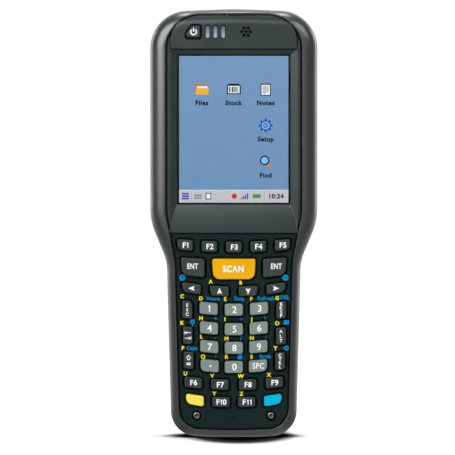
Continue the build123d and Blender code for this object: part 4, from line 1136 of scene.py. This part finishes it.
def world():
    """White to the camera, through glass, and to mirrors that see behind the object.

    It is dark to mirrors that see the camera's side, and lights the colours dimly.
    """
    made = bpy.data.worlds.new("studio")
    made.use_nodes = True
    bpy.context.scene.world = made
    made.cycles.sampling_method = "NONE"
    tree = made.node_tree
    rays, straight = light_rays(tree)
    direction = add(tree, "ShaderNodeTexCoord").outputs["Generated"]
    gloss = remap(tree, axis(tree, direction, "Y"), 0.4, 0.7, 0.05, 1.0)
    unseen = chosen(tree, rays["Is Glossy Ray"], 0.4, gloss)
    set_inputs(tree, tree.nodes["Background"], {
        "Color": grey(1.0), "Strength": chosen(tree, straight, unseen, 1.0),
    })


# ---------------------------------------------------------------- lamps and camera
AIM_Z = 97.0  # height that the soft lamps point at
VIEW_ELEVATION = 2.2
VIEW_DISTANCE = 4000.0
VIEW_WIDTH = 206.8  # what the picture spans at the front of the case
VIEW_X = -2.86
VIEW_Z = 95.7


def lamp(name, light, azimuth, elevation):
    """A lamp that faces the object, and the way to it. Azimuth 0 is in front, and grows to the right."""
    a, e = radians(azimuth), radians(elevation)
    way = Vector((sin(a) * cos(e), -cos(a) * cos(e), sin(e)))
    made = put(name, light)
    made.rotation_euler = way.to_track_quat("Z", "Y").to_euler()
    return made, way


def softbox(name, azimuth, elevation, width, height, glow, distance=1.0, acts="gloss"):
    """A soft lamp, with its sizes and distance in metres. It acts on colour, on gloss or on both."""
    light = bpy.data.lights.new(name, "AREA")
    light.shape, light.size, light.size_y = "RECTANGLE", width, height
    light.energy = glow * pi * width * height
    made, way = lamp(name, light, azimuth, elevation)
    made.location = way * distance + metres(0, 0, AIM_Z)
    made.visible_camera = False
    made.visible_diffuse = acts != "gloss"
    made.visible_glossy = acts != "colour"


def sun(name, azimuth, elevation, strength, spread_angle):
    """A far lamp, which lights the floor evenly."""
    light = bpy.data.lights.new(name, "SUN")
    light.energy, light.angle = strength, radians(spread_angle)
    lamp(name, light, azimuth, elevation)


def camera():
    data = bpy.data.cameras.new("camera")
    data.sensor_width = 36.0
    data.lens = data.sensor_width * VIEW_DISTANCE / VIEW_WIDTH
    data.clip_end = 20.0
    tilt = radians(VIEW_ELEVATION)
    made = put("camera", data)
    made.location = metres(VIEW_X, BEZEL_Y - VIEW_DISTANCE * cos(tilt), VIEW_Z + VIEW_DISTANCE * sin(tilt))
    made.rotation_euler = (pi / 2 - tilt, 0, 0)
    bpy.context.scene.camera = made


floor()
world()
softbox("key_light", 46, 38, 0.5, 0.5, 6.0, acts="both")
softbox("fill_light", -45, 25, 0.5, 0.5, 3.4, acts="colour")
softbox("head_light", -37, 26, 0.38, 0.42, 8.5, distance=0.5)
softbox("right_light", 20, 6, 0.3, 0.8, 1.0)
softbox("front_top_light", -4, 33, 0.7, 0.2, 3.4)
softbox("left_edge_light", -126, 5, 0.3, 0.9, 4.0)
softbox("right_edge_light", 126, 5, 0.3, 0.9, 4.0)
sun("top_light", 176, 78, 2.25, 30)
camera()
bpy.context.scene.view_settings.view_transform = "Standard"
